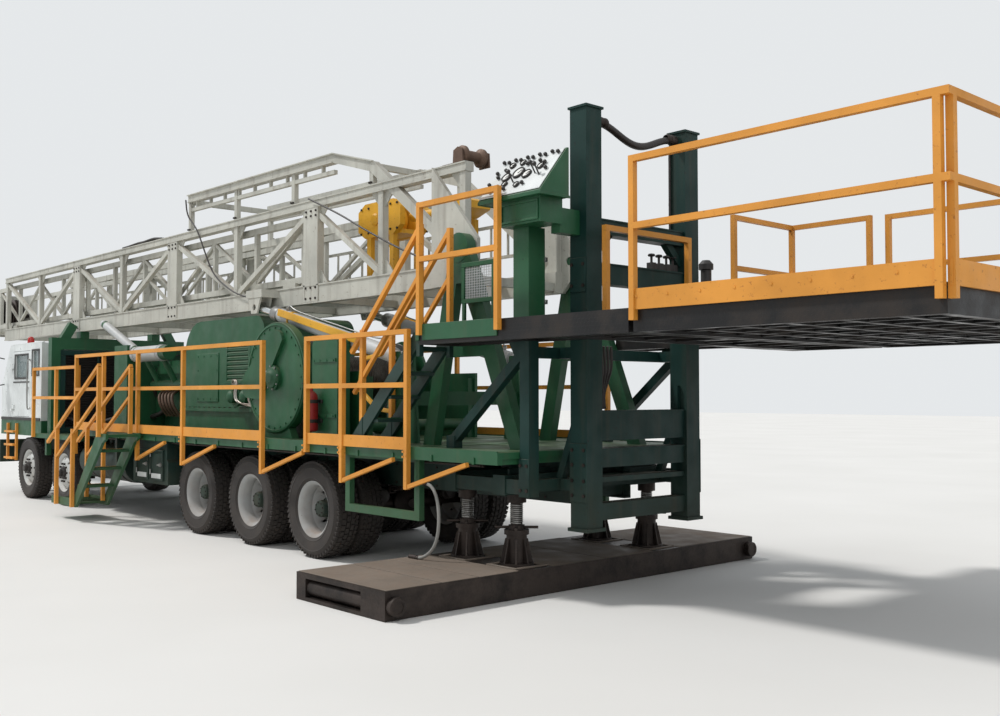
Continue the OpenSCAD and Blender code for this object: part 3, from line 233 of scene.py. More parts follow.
trim = soft("black_moulded_plastic", "#191b1c", rough=0.55, dusty=0.12)
pale_hose = soft("pale_hose_rubber", "#8f918d", dusty=0.25)
red_lens = soft("red_beacon_plastic", "#b3201c", rough=0.2, dusty=0.1)
plate = chequer("oily_chequer_plate", "#121315", "#3b332d")
glass = clear("dusty_window_glass", "#8fa3a6")
lens = clear("lamp_lens_glass", "#dfe5e8", rough=0.04)


def second_paint(mat, hex_code, x1, y0, y1, rise, level):
    """Another colour on what lies before x1, between two sides and below a sloping plane."""
    s = Skin(mat=mat)
    x, y, z = (s.part(s.where, axis) for axis in range(3))
    off = s.calc("ABSOLUTE", s.calc("SUBTRACT", y, (y0 + y1) / 2 + PLACE.y))
    beside = s.calc("LESS_THAN", off, (y1 - y0) / 2)
    below = s.calc("LESS_THAN", s.calc("MULTIPLY_ADD", x, -rise, z), level - rise * PLACE.x)
    before = s.calc("LESS_THAN", x, x1 + PLACE.x)
    share = s.calc("MULTIPLY", s.calc("MULTIPLY", beside, below), before)
    s.set(s.mix(share, s.shader.inputs["Base Color"].links[0].from_socket, hex_code))


# the strings of the upper stair are dark green, its handrails orange
second_paint(orange, "#0e3029", 2.3, -DECK_SIDE, -0.975, 0.966, 0.44)

FINISH = {"green_paint": green, "dark_green_paint": dark_green, "orange_paint": orange,
          "yellow_paint": yellow, "white_paint": cab_white, "mast_paint": mast_white,
          "dark_steel": oily_steel, "bright_steel": bright_steel, "rod_chrome": rod_chrome,
          "silver_paint": silver, "tyre": rubber, "cab_glass": glass, "cab_trim": trim,
          "floor_steel": plate, "hose": hose_rubber}
SLOT_OF = {mat.name: slot for slot, mat in FINISH.items()}
for slot, others in (("bright_steel", (rope_steel, scorched)), ("dark_steel", (rusty_steel, worn_plate)),
                     ("cab_glass", (red_lens, lens)), ("white_paint", (dial_white, rim_white, rim_grey)),
                     ("hose", (pale_hose,)), ("green_paint", (red,))):
    SLOT_OF.update({mat.name: slot for mat in others})
for part in frame["record"]["subparts"]:
    thing = frame["nodes"][part["node"]]
    thing.data.materials.clear()
    thing.data.materials.append(FINISH[part["material_slot"]])


def corners(lo, hi):
    """The low and the high corner of a box given by any two opposite ones."""
    return Vector(map(min, lo, hi)), Vector(map(max, lo, hi))


# Sections and places
def on_circle(r, count, start=0.0):
    """Points at equal steps on a circle about the origin."""
    angles = [start + 2 * math.pi * k / count for k in range(count)]
    return [(r * math.cos(t), r * math.sin(t)) for t in angles]


def hoop(inner, outer, low, high):
    """Section of a flat ring for Work.turned."""
    return [(inner, low), (outer, low), (outer, high), (inner, high)]


def heads(xs, y, zs, out=Y):
    """Bolt places in rows and columns on a face across y."""
    return [((x, y, z), out) for x in xs for z in zs]


def around(centre, r, count, out, start=0.0):
    """Bolt places on a circle about Y."""
    return [((centre[0] + x, centre[1], centre[2] + z), out) for x, z in on_circle(r, count, start)]


def both(places):
    """The same places on the left and on the right."""
    return [((x, s * y, z), (a, s * b, c)) for (x, y, z), (a, b, c) in places for s in (-1, 1)]


# Making pieces
class Work:
    """Gathers the faces of one piece, in the carrier's metres."""

    def __init__(self):
        self.bm = bmesh.new()

    def cube(self, centre, size, turn=Matrix.Identity(4)):
        matrix = Matrix.Translation(centre) @ turn @ Matrix.Diagonal((*size, 1.0))
        bmesh.ops.create_cube(self.bm, size=1.0, matrix=matrix)
        return self

    def block(self, lo, hi):
        lo, hi = corners(lo, hi)
        return self.cube((lo + hi) / 2, hi - lo)

    def bar(self, a, b, wide, deep=None):
        """Rectangular bar from a to b; deep is its height where it runs level."""
        a, b = Vector(a), Vector(b)
        run = b - a
        side = Vector(Z).cross(run)
        side = side.normalized() if side.length > 1e-5 else Vector(Y)
        turn = Matrix((run.normalized(), side, run.cross(side).normalized())).transposed().to_4x4()
        return self.cube((a + b) / 2, (run.length, wide, deep or wide), turn)

    def frame(self, lo, hi, wide, flat=1):
        """Rim of the given width inside a box that is thin along the axis numbered flat."""
        lo, hi = corners(lo, hi)
        a, b = [k for k in range(3) if k != flat]
        for low_end in (True, False):
            for along, across, inset in ((b, a, 0), (a, b, wide)):
                p, q = lo.copy(), hi.copy()
                p[across] += inset
                q[across] -= inset
                if low_end:
                    q[along] = lo[along] + wide
                else:
                    p[along] = hi[along] - wide
                self.block(p, q)
        return self

    def tube(self, a, b, r, sides=14):
        """Round bar from a to b."""
        a, b = Vector(a), Vector(b)
        turn = (b - a).to_track_quat("Z", "Y").to_matrix().to_4x4()
        bmesh.ops.create_cone(self.bm, cap_ends=True, segments=sides, radius1=r, radius2=r,
                              depth=(b - a).length, matrix=Matrix.Translation((a + b) / 2) @ turn)
        return self

    def turned(self, centre, profile, axis=Y, sides=40):
        """Closed section of (radius, along) points turned about an axis; a radius of 0 makes a pole."""
        turn = Matrix.Translation(Vector(centre)) @ Vector(axis).to_track_quat("Z", "Y").to_matrix().to_4x4()
        rings = []
        for r, along in profile:
            spots = on_circle(r, sides) if r > 1e-6 else [(0, 0)]
            rings.append([self.bm.verts.new(turn @ Vector((*spot, along))) for spot in spots])
        pairs = list(zip(rings, rings[1:]))
        if profile[0][0] > 1e-6 or profile[-1][0] > 1e-6:
            pairs.append((rings[-1], rings[0]))
        for low, high in pairs:
            for k in range(sides):
                j = k + 1
                ring = [low[k % len(low)], low[j % len(low)], high[j % len(high)], high[k % len(high)]]
                ring = [v for i, v in enumerate(ring) if v not in ring[:i]]
                if len(ring) > 2:
                    self.bm.faces.new(ring)
        return self

    def plate(self, outline, y0, y1):
        """Outline of (x, z) points given a thickness from y0 to y1."""
        near, far = [[self.bm.verts.new((x, y, z)) for x, z in outline] for y in (y0, y1)]
        self.bm.faces.new(near)
        self.bm.faces.new(far[::-1])
        for k in range(len(near)):
            j = (k + 1) % len(near)
            self.bm.faces.new((near[k], near[j], far[j], far[k]))
        return self

    def mirrored(self):
        """Adds the same piece on the other side of the carrier."""
        kept = self.bm.verts[:] + self.bm.edges[:] + self.bm.faces[:]
        for v in bmesh.ops.duplicate(self.bm, geom=kept)["geom"]:
            if isinstance(v, bmesh.types.BMVert):
                v.co.y = -v.co.y
        return self

    def mesh(self, name):
        bmesh.ops.recalc_face_normals(self.bm, faces=self.bm.faces)
        mesh = bpy.data.meshes.new(name)
        self.bm.to_mesh(mesh)
        self.bm.free()
        return mesh

    def done(self, name, mat, edge=0.0, smooth=35, body="carrier", slot=None):
        """Turns the faces into an object that rides on a body."""
        mesh = self.mesh(name)
        mesh.transform(Matrix.Translation(PLACE))
        return fitted(name, mesh, mat, edge, smooth, body, slot)


def fitted(name, mesh, mat, edge=0.0, smooth=35, body="carrier", slot=None):
    """A piece with its finish, riding on a body; the slot it works out is not used."""
    mesh.materials.clear()
    mesh.materials.append(mat)
    mesh.shade_smooth()
    mesh.set_sharp_from_angle(angle=math.radians(smooth))
    obj = bpy.data.objects.new(name, mesh)
    scene.collection.objects.link(obj)
    if edge:
        round_off = obj.modifiers.new("edge", "BEVEL")
        round_off.width, round_off.segments, round_off.limit_method = edge, 1, "ANGLE"
    slot = slot or SLOT_OF[mat.name]
    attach(obj, body)
    return obj


# Node trees for what repeats
class Growth:
    """A geometry tree with a mesh input, the named inputs and a finish."""

    def __init__(self, name, **inputs):
        self.tree = bpy.data.node_groups.new(name, "GeometryNodeTree")
        self.socket("Geometry", "Geometry")
        for label, value in inputs.items():
            kind = {int: "Int", float: "Float"}.get(type(value), "Vector")
            self.socket(label, kind).default_value = value
        self.socket("Finish", "Material")
        self.socket("Geometry", "Geometry", "OUTPUT")
        self.given = self.tree.nodes.new("NodeGroupInput").outputs
        self.result = self.tree.nodes.new("NodeGroupOutput").inputs[0]

    def socket(self, label, kind, way="INPUT"):
        return self.tree.interface.new_socket(label, in_out=way, socket_type="NodeSocket" + kind)

    def node(self, kind, inputs=None, family="Geometry", **settings):
        return add(self.tree, family + "Node" + kind, inputs, **settings).outputs[0]

    def half(self, label):
        return self.node("Math", {0: self.given[label], 1: 0.5}, "Shader", operation="MULTIPLY")

    def moved(self, shape, **inputs):
        return self.node("Transform", {0: shape, **inputs})

    def spread(self, points, shape, turn):
        return self.node("InstanceOnPoints", {"Points": points, "Instance": shape, "Rotation": turn})

    def swept(self, line, sides):
        ring = self.node("CurvePrimitiveCircle", {"Resolution": sides, "Radius": self.half("Thickness")})
        return self.node("CurveToMesh", {0: line, "Profile Curve": ring, "Fill Caps": True})

    def done(self, shape):
        real = self.node("RealizeInstances", {0: shape})
        self.tree.links.new(self.node("SetMaterial", {0: real, 2: self.given["Finish"]}), self.result)
        return self.tree


def bars_tree():
    """Equal bars at equal steps: louvres, rungs, slats, joists."""
    g = Growth("bars_in_a_row", Start=(0, 0, 0), Step=(0.1, 0, 0), Count=5, Size=(0.1, 0.1, 0.1),
               Turn=(0, 0, 0))
    line = g.node("MeshLine", {"Count": g.given["Count"], "Start Location": g.given["Start"],
                               "Offset": g.given["Step"]}, mode="OFFSET")
    return g.done(g.spread(line, g.node("MeshCube", {"Size": g.given["Size"]}), g.given["Turn"]))


def bolts_tree():
    """A hexagon head on each point of the base mesh, facing along its out vector."""
    g = Growth("bolt_heads", Width=0.03, Height=0.015, Sides=6)
    head = g.node("MeshCylinder", {"Vertices": g.given["Sides"], "Radius": g.half("Width"),
                                   "Depth": g.given["Height"]})
    facing = g.node("InputNamedAttribute", {0: "out"}, data_type="FLOAT_VECTOR")
    turn = g.node("AlignRotationToVector", {"Vector": facing}, "Function", axis="Z")
    return g.done(g.spread(g.given["Geometry"], head, turn))


def ring_tree():
    """Blocks on a ring about Y, such as tyre treads."""
    g = Growth("blocks_on_a_ring", Centre=(0, 0, 0), Radius=0.5, Count=40, Block=(0.05, 0.04, 0.02), Lean=0.0,
               Start=0.0)
    share = g.node("Math", {0: g.node("InputIndex"), 1: g.given["Count"]}, "Shader", operation="DIVIDE")
    angle = g.node("Math", {0: share, 1: 2 * math.pi, 2: g.given["Start"]}, "Shader",
                   operation="MULTIPLY_ADD")
    lean = g.node("CombineXYZ", {2: g.given["Lean"]}, "Shader")
    up = g.node("CombineXYZ", {2: g.given["Radius"]}, "Shader")
    leant = g.moved(g.node("MeshCube", {"Size": g.given["Block"]}), Rotation=lean)
    many = g.spread(g.node("Points", {"Count": g.given["Count"]}), g.moved(leant, Translation=up),
                    g.node("CombineXYZ", {1: angle}, "Shader"))
    return g.done(g.moved(many, Translation=g.given["Centre"]))


def hose_tree():
    """A round hose or rope along the edges of the base mesh, bent smoothly through its points."""
    g = Growth("hose_on_a_line", Thickness=0.03, Sides=10, Pitch=0.05)
    line = g.node("MeshToCurve", {0: g.given["Geometry"]})
    bent = g.node("CurveSplineType", {0: line}, spline_type="CATMULL_ROM")
    even = g.node("ResampleCurve", {0: bent, "Length": g.given["Pitch"]}, mode="LENGTH")
    return g.done(g.swept(even, g.given["Sides"]))


def coil_tree():
    """Rope wound on a drum about Y, or a screw thread about Z when it isn't laid over."""
    g = Growth("wound_coil", Centre=(0, 0, 0), Radius=0.3, Turns=10.0, Length=1.0, Thickness=0.026,
               Over=(1.5708, 0, 0), Steps=32)
    coil = g.node("CurveSpiral", {"Resolution": g.given["Steps"], "Rotations": g.given["Turns"],
                                  "Start Radius": g.given["Radius"], "End Radius": g.given["Radius"],
                                  "Height": g.given["Length"]})
    return g.done(g.moved(g.swept(coil, 6), Translation=g.given["Centre"], Rotation=g.given["Over"]))


BARS, BOLTS, RING, HOSE, COIL = bars_tree(), bolts_tree(), ring_tree(), hose_tree(), coil_tree()


def grown(name, tree, values, mat, base=None, smooth=35, body="carrier", slot=None):
    """Runs a tree once and keeps the plain mesh that it makes, as a piece that rides on a body."""
    obj = bpy.data.objects.new(name, base or bpy.data.meshes.new(name + "_base"))
    scene.collection.objects.link(obj)
    grow = obj.modifiers.new("grow", "NODES")
    grow.node_group = tree
    sockets = {s.name: s.identifier for s in tree.interface.items_tree if s.in_out == "INPUT"}
    for key, value in {**values, "Finish": mat}.items():
        grow[sockets[key]] = value
    obj.update_tag()
    mesh = bpy.data.meshes.new_from_object(obj.evaluated_get(bpy.context.evaluated_depsgraph_get()))
    bpy.data.objects.remove(obj)
    mesh.name = name
    mesh.transform(Matrix.Translation(PLACE))
    return fitted(name, mesh, mat, 0.0, smooth, body, slot)


def bars(name, start, step, count, size, mat, turn=(0, 0, 0), body="carrier"):
    values = {"Start": start, "Step": step, "Count": count, "Size": size, "Turn": turn}
    return grown(name, BARS, values, mat, body=body)


def bolts(name, places, mat, width=0.03, height=0.016, sides=6, body="carrier", slot=None):
    """Heads at (point, direction it faces) pairs."""
    base = bpy.data.meshes.new(name + "_base")
    base.from_pydata([p for p, _ in places], [], [])
    facing = base.attributes.new("out", "FLOAT_VECTOR", "POINT")
    for k, (_, out) in enumerate(places):
        facing.data[k].vector = out
    return grown(name, BOLTS, {"Width": width, "Height": height, "Sides": sides}, mat, base, 30, body, slot)


def hoses(name, routes, thick, mat, pitch=0.05, sides=10, body="carrier"):
    """Fixed hoses, pipes or ropes, each along its own points."""
    base = bpy.data.meshes.new(name + "_base")
    points, edges = [], []
    for route in routes:
        edges += [(len(points) + k, len(points) + k + 1) for k in range(len(route) - 1)]
        points += route
    base.from_pydata(points, edges, [])
    return grown(name, HOSE, {"Thickness": thick, "Pitch": pitch, "Sides": sides}, mat, base, 60, body)


# Cords: the routes of the solids, repeated in metres
AIR_HOSE = [(2.125, -1.320, 0.960), (2.165, -1.320, 0.960), (2.235, -1.323, 0.942), (2.300, -1.328, 0.890),
            (2.350, -1.335, 0.800), (2.380, -1.343, 0.690), (2.390, -1.352, 0.580), (2.380, -1.360, 0.480),
            (2.345, -1.370, 0.385), (2.280, -1.382, 0.315), (2.200, -1.394, 0.272), (2.130, -1.400, 0.261),
            (2.090, -1.400, 0.261)]
HOSE_TOP, HOSE_RUN, HOSE_SAG = 4.295, 0.54, 0.135
COLUMN_HOSE = [(COLUMN_X, -0.56, HOSE_TOP)]
for y in (HOSE_RUN * (k / 7.5 - 1) for k in range(16)):
    COLUMN_HOSE.append((COLUMN_X, y, HOSE_TOP - HOSE_SAG / 2 * (1 + math.cos(math.pi * y / HOSE_RUN))))
COLUMN_HOSE.append((COLUMN_X, 0.56, HOSE_TOP))


def eased(route):
    """The route with a point more between each two, on a smooth curve through them all."""
    pts = [Vector(p) for p in route]
    run = [2 * pts[0] - pts[1]] + pts + [2 * pts[-1] - pts[-2]]
    out = []
    for a, b, c, d in zip(run, run[1:], run[2:], run[3:]):
        out += [b, (9 * (b + c) - a - d) / 16]
    return out + [pts[-1]]


def cord(name, node, route, thick, mat):
    """A hose of its real length between two fixed unions, with a crimped sleeve on each end."""
    points = eased(route)
    line = bpy.data.curves.new(name, "CURVE")
    line.dimensions, line.bevel_depth, line.bevel_resolution, line.use_fill_caps = "3D", thick / 2, 3, True
    spline = line.splines.new("POLY")
    spline.points.add(len(points) - 1)
    for knot, p in zip(spline.points, points):
        knot.co = (*(p + PLACE), 1.0)
    line.materials.append(mat)
    obj = bpy.data.objects.new(name, line)
    scene.collection.objects.link(obj)
    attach(obj, "carrier")
    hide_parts(node)
    crimp = [(0.98, 0), (1.45, 0), (1.45, 1.6), (1.2, 1.9), (1.3, 2.1), (1.3, 3.4), (1.02, 3.9), (0.98, 3.9)]
    crimp = [(thick / 2 * r, thick / 2 * along) for r, along in crimp]
    for label, tip, inner in (("start", points[0], points[1]), ("far", points[-1], points[-2])):
        sleeve = Work().turned(tip, crimp, inner - tip, 20)
        sleeve.done(name + "_sleeve_" + label, oily_steel, smooth=30)


cord("air_hose_line", "air_hose", AIR_HOSE, 0.032, pale_hose)
cord("column_hose_line", "column_hose", COLUMN_HOSE, 0.070, hose_rubber)


# Wheels
TYRE = [(0.300, 0.098), (0.316, 0.116), (0.345, 0.133), (0.352, 0.139), (0.360, 0.136), (0.415, 0.144),
        (0.455, 0.145), (0.462, 0.149), (0.470, 0.144), (0.492, 0.137), (0.513, 0.121), (0.524, 0.100),
        (0.526, 0.05)]
BARREL = [(0.302, -0.112), (0.316, -0.122), (0.318, -0.112), (0.304, -0.098), (0.284, -0.07), (0.279, 0.0),
          (0.284, 0.07), (0.304, 0.098), (0.318, 0.112), (0.316, 0.122), (0.290, 0.112), (0.268, 0.07),
          (0.262, 0.0), (0.268, -0.07), (0.288, -0.104)]
FRONT_HUB = [(0, 0.215), (0.055, 0.214), (0.066, 0.200), (0.068, 0.165), (0.102, 0.150), (0.108, 0.121),
             (0.108, 0.05), (0, 0.05)]
REAR_HUB = [(0, 0.045), (0.06, 0.045), (0.088, 0.038), (0.096, 0.02), (0.099, -0.05), (0.124, -0.07),
            (0.128, -0.169), (0, -0.169)]
FRONT_FACE, REAR_FACE = 0.12, -0.17


def drilled(work, cuts, name):
    """Takes the cut pieces' holes out of a closed shape; returns the mesh, about the origin."""
    pair = []
    for part, label in ((work, name), (cuts, name + "_cuts")):
        obj = bpy.data.objects.new(label, part.mesh(label))
        scene.collection.objects.link(obj)
        pair.append(obj)
    cut = pair[0].modifiers.new("cut", "BOOLEAN")
    cut.object, cut.operation, cut.solver = pair[1], "DIFFERENCE", "EXACT"
    mesh = bpy.data.meshes.new_from_object(pair[0].evaluated_get(bpy.context.evaluated_depsgraph_get()))
    for obj in pair:
        bpy.data.objects.remove(obj)
    return mesh


def rim_mesh(name, face):
    """Steel disc wheel about the origin, outer side to -y; face is how far out its bolting face lies."""
    if face > 0:
        disc = [(0.272, -0.05), (0.262, -0.07), (0.205, -face + 0.004), (0.19, -face), (0.085, -face),
                (0.085, -face + 0.014), (0.188, -face + 0.014), (0.202, -face + 0.020), (0.25, -0.038)]
    else:
        disc = [(0.272, 0.02), (0.262, 0.04), (0.205, -face - 0.004), (0.19, -face), (0.085, -face),
                (0.085, -face + 0.014), (0.194, -face + 0.014), (0.214, -face + 0.008), (0.268, 0.056),
                (0.276, 0.03)]
    cuts = Work()
    for x, z in on_circle(0.222, 8):
        cuts.tube((x, -face - 0.2, z), (x, -face + 0.2, z), 0.021)
    rim = Work().turned((0, 0, 0), BARREL, sides=56)
    bmesh.ops.recalc_face_normals(rim.bm, faces=rim.bm.faces)
    rim.bm.from_mesh(drilled(Work().turned((0, 0, 0), disc, sides=56), cuts, name + "_disc"))
    mesh = bpy.data.meshes.new(name)
    rim.bm.to_mesh(mesh)
    return mesh


def treads(name, centre, body):
    """Five rows of blocks round a tyre; those on its shoulders are smaller, thicker and leant more."""
    for row, lean in enumerate((0.35, 0.12, 0.0, -0.12, -0.35)):
        r, count, block = 0.5315, 48, (0.056, 0.044, 0.018)
        if row in (0, 4):
            r, count, block = 0.5175, 56, (0.046, 0.036, 0.030)
        spot = tuple(centre + Vector((0, 0.056 * (row - 2), 0)))
        grown("%s_%d" % (name, row), RING, {"Centre": spot, "Radius": r, "Count": count, "Lean": lean,
                                            "Start": 0.06 * (row % 2), "Block": block}, rubber, body=body)


def wheel(i, side, rims):
    front = i < 2
    tag = "%d_%s" % (i + 1, "left" if side < 0 else "right")
    body = "wheel_" + tag
    places = [Vector((AXLES[i], side * y, HUB_Z)) for y in ((TRACK,) if front else (TRACK, TWIN))]
    tyres = Work()
    for c in places:
        tyres.turned(c, [(r, -w) for r, w in TYRE] + [(r, w) for r, w in TYRE[::-1]], sides=56)
    tyre = tyres.done("tyres_" + tag, rubber, smooth=28, body=body)
    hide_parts(body)
    for c, where in zip(places, ("out", "in")):
        treads("tread_%s_%s" % (tag, where), c, body)
    kind = "front" if front else "rear"
    for c, key in zip(places, (kind, "twin")):
        mesh = rims[kind].copy()
        flip = (side > 0) != (key == "twin")
        turn = Matrix.Rotation(math.pi, 4, "Z") if flip else Matrix.Identity(4)
        mesh.transform(Matrix.Translation(c + PLACE) @ turn)
        fitted("rim_%s_%s" % (key, tag), mesh, rim_white if front else rim_grey, smooth=30, body=body)
    centre, out = places[0], Vector((0, side, 0))
    hub = Work().turned(centre, FRONT_HUB if front else REAR_HUB, out, 28)
    hub.done("hub_" + tag, trim if front else dark_green, smooth=30, body=body,
             slot="dark_steel" if front else None)
    nuts = around(centre + out * ((FRONT_FACE if front else REAR_FACE) + 0.014), 0.149, 10, tuple(out))
    bolts("wheel_nuts_" + tag, nuts, oily_steel, 0.036, 0.030, body=body)
    caps = around(centre + out * (0.155 if front else 0.045), 0.086 if front else 0.070, 8, tuple(out), 0.2)
    bolts("hub_bolts_" + tag, caps, oily_steel, 0.018, 0.014, body=body)


rim_meshes = {"front": rim_mesh("front_rim", FRONT_FACE), "rear": rim_mesh("rear_rim", REAR_FACE)}
for axle in range(5):
    for hand in (-1, 1):
        wheel(axle, hand, rim_meshes)


# Cab
def dress_cab_side(s, hand):
    """Seals, glass, mirror, lamps, wiper, sill and handle of one side; s is -1 on the left."""
    door = "door_" + hand
    wall = s * CAB_SIDE
    seals = Work().frame((-10.27, wall, 2.11), (-9.53, s * (CAB_SIDE + 0.012), 2.57), 0.035)
    seals.block((-10.33, wall, 2.045), (-9.47, s * (CAB_SIDE + 0.010), 2.07))
    seals.done("door_seal_" + hand, trim, 0.004, body=door)
    quarter = Work().frame((-9.345, wall, 2.155), (-8.955, s * (CAB_SIDE + 0.012), 2.635), 0.03)
    quarter.done("quarter_seal_" + hand, trim, 0.004)
    pane = Work().block((-10.235, s * 1.19, 2.145), (-9.565, s * 1.196, 2.535))
    pane.done("door_pane_" + hand, glass, body=door)
    stem = -10.93
    mirror = Work().tube((-10.86, wall, 2.50), (stem, s * 1.46, 2.56), 0.012, 8)
    mirror.tube((-10.86, wall, 2.02), (stem, s * 1.46, 1.98), 0.012, 8)
    mirror.tube((stem, s * 1.46, 1.97), (stem, s * 1.46, 2.57), 0.012, 8)
    mirror.block((stem - 0.025, s * 1.40, 2.08), (stem + 0.025, s * 1.60, 2.46))
    mirror.done("mirror_" + hand, trim, 0.008)
    face = Work().block((stem + 0.024, s * 1.42, 2.10), (stem + 0.032, s * 1.58, 2.44))
    face.done("mirror_face_" + hand, rod_chrome)
    lamp = Work()
    bowl = [(0, 0.05), (0.05, 0.046), (0.085, 0.03), (0.095, 0.026), (0.1, 0.012), (0.1, -0.01), (0, -0.01)]
    for y in (0.80, 1.02):
        lamp.turned((CAB_FRONT, s * y, 1.60), bowl, FRONT, 28)
    lamp.done("head_lamps_" + hand, lens, smooth=40)
    panel = Work().block((CAB_FRONT - 0.03, s * 0.68, 1.49), (CAB_FRONT, s * 1.14, 1.71))
    panel.done("lamp_panel_" + hand, trim, 0.012)
    wiper = Work().bar((CAB_FRONT, s * 0.55, 2.03), (-10.80, s * 0.42, 2.38), 0.016)
    wiper.bar((-10.93, s * 0.75, 2.155), (-10.70, s * 0.20, 2.52), 0.012, 0.022)
    wiper.done("wiper_" + hand, trim)
    sill = Work().block((-10.98, wall, 1.37), (-8.87, s * (CAB_SIDE + 0.014), 1.42))
    sill.done("sill_strip_" + hand, trim, 0.004)
    grab = [(-9.42, s * (CAB_SIDE + out), z) for out, z in ((0, 1.60), (0.05, 1.63), (0.05, 2.40), (0, 2.43))]
    hoses("grab_handle_" + hand, [grab], 0.025, bright_steel, pitch=0.03)


def dress_cab():
    for s, hand in ((-1, "left"), (1, "right")):
        dress_cab_side(s, hand)
    dome = [(0, 0.17), (0.03, 0.165), (0.052, 0.14), (0.06, 0.10), (0.062, 0.035), (0.075, 0.03),
            (0.075, 0), (0, 0)]
    Work().turned((-10.25, -0.95, CAB_TOP), dome, Z, 28).done("roof_beacon", red_lens, smooth=45)
    roof = CAB_TOP + 0.02
    ledge = Work().block((-10.50, -1.20, CAB_TOP), (-8.87, -1.16, roof)).mirrored()
    ledge.block((-10.50, -1.16, CAB_TOP), (-10.46, 1.16, roof))
    ledge.block((-9.9, 0.75, CAB_TOP), (-9.3, 1.1, CAB_TOP + 0.09))
    ledge.done("roof_gutter", cab_white, 0.006)
    bars("grille_slats", (CAB_FRONT - 0.012, 0, 1.50), (0, 0, 0.045), 10, (0.03, 1.2, 0.02), trim,
         (0, 0.5, 0))
    grille = Work().frame((CAB_FRONT - 0.035, -0.66, 1.45), (CAB_FRONT, 0.66, 1.96), 0.05, flat=0)
    grille.done("grille_frame", silver, 0.008)
    places = [((-11.22, y, z), FRONT) for y in (-1.1, -0.7, 0.7, 1.1) for z in (0.64, 0.9)]
    bolts("bumper_bolts", places, oily_steel, 0.045, 0.02)


def dress_cradle():
    """Oil cooler between the posts of the mast's front cradle."""
    x, low, high, half, rim = -8.50, 1.17, 2.60, 1.045, 0.09
    casing = Work().frame((x - 0.07, -half, low), (x + 0.07, half, high), rim, flat=0)
    casing.done("cooler_frame", dark_green, 0.006)
    core = Work().block((x - 0.03, rim - half, low + rim), (x + 0.01, half - rim, high - rim))
    core.done("cooler_core", oily_steel)
    bars("cooler_fins", (x + 0.03, 0, low + 0.11), (0, 0, 0.03), 41, (0.04, 2 * half - 0.19, 0.006), trim,
         (0, 0.5, 0))
    bars("cooler_ties", (x + 0.055, -0.78, (low + high) / 2), (0, 0.39, 0), 5,
         (0.012, 0.03, high - low - 0.17), dark_green)
    route = ((0.06, 0.90, 0.25), (0.25, 0.90, 0.24), (0.7, 0.85, 0.14), (1.3, 0.75, 0.22), (1.95, 0.6, 0.36))
    hoses("cooler_hoses", [[(x + dx, s * y, low + dz) for dx, y, dz in route] for s in (-1, 1)], 0.055,
          hose_rubber)


# Chassis, lockers and tank
def dress_chassis():
    bolts("rail_bolts", both(heads([x * 0.24 for x in range(-45, 13)], 0.43, (0.83, 1.03))), oily_steel)
    nuts = heads([x + s for x in AXLES for s in (-0.1, 0.1)], 0.385, (0.77,), Z)
    bolts("spring_clamp_nuts", both(nuts), oily_steel, 0.045, 0.03)
    bands = Work()
    for x in AXLES:
        for s, low in ((-0.32, 0.69), (0.32, 0.69), (-0.11, 0.655), (0.11, 0.655)):
            bands.frame((x + s - 0.022, 0.338, low), (x + s + 0.022, 0.432, 0.775), 0.014, flat=0)
    bands.mirrored().done("spring_bands", oily_steel)
    pot = [(0, 0.1), (0.03, 0.1), (0.08, 0.085), (0.088, 0.03), (0.098, 0.025), (0.098, -0.02),
           (0.088, -0.03), (0.075, -0.13), (0, -0.14)]
    bowl = [(0, 0.20), (0.05, 0.2), (0.07, 0.17), (0.15, 0.15), (0.19, 0.11), (0.2, 0.02), (0.2, -0.02),
            (0.17, -0.1), (0, -0.16)]
    pots, bowls = Work(), Work()
    for x in AXLES[2:]:
        pots.turned((x + 0.24, 0.50, 0.66), pot, X, 24)
        bowls.turned((x, 0, HUB_Z), bowl, X, 32)
    pots.mirrored().done("brake_chambers", trim, smooth=40)
    bowls.done("axle_bowls", oily_steel)
    # left lockers: door rims, handles, hinges and a blank plate on each
    rims, latch, blank = Work(), Work(), Work()
    knob = [(0, 0.03), (0.022, 0.028), (0.028, 0.012), (0.028, 0), (0, 0)]
    for x in (-4.50, -4.04):
        rims.frame((x, -1.346, 0.64), (x + 0.42, -1.358, 1.06), 0.028)
        latch.turned((x + 0.36, -1.352, 0.86), knob, LEFT, 16)
        latch.bar((x + 0.31, -1.385, 0.86), (x + 0.41, -1.385, 0.86), 0.012, 0.02)
        for z in (0.72, 0.96):
            latch.tube((x + 0.04, -1.362, z), (x + 0.04, -1.362, z + 0.07), 0.011, 10)
        blank.block((x + 0.04, -1.349, 0.665), (x + 0.34, -1.345, 0.735))
    rims.done("locker_door_rims", dark_green, 0.004)
    latch.done("locker_latches", bright_steel)
    blank.done("blank_locker_plates", cab_white, 0.002)
    right = Work()
    for x in (-6.33, -5.37, -4.41):
        right.frame((x, 1.334, 0.62), (x + 0.84, 1.348, 1.13), 0.03)
        for s in (0.2, 0.64):
            right.bar((x + s - 0.05, 1.362, 0.90), (x + s + 0.05, 1.362, 0.90), 0.02, 0.03)
    right.done("right_locker_rims", dark_green, 0.004)
    straps = Work()
    for x in (-6.46, -5.31):
        straps.turned((x, -1.0, 0.79), hoop(0.281, 0.288, -0.035, 0.035), X, 48)
    straps.turned((-6.2, -1.0, 1.11), [(0, 0.045), (0.045, 0.045), (0.062, 0.03), (0.062, 0), (0, 0)], Z, 20)
    straps.done("tank_straps_and_cap", oily_steel, smooth=40)
    # pipes clipped under the deck's edges
    edges = ((-1.27, 1.165), (-1.23, 1.16), (1.25, 1.165))
    hoses("deck_edge_pipes", [[(x, y, z) for x in (-6.3, -3.0, 0.4, 2.9)] for y, z in edges], 0.028,
          oily_steel, pitch=0.5, sides=8)


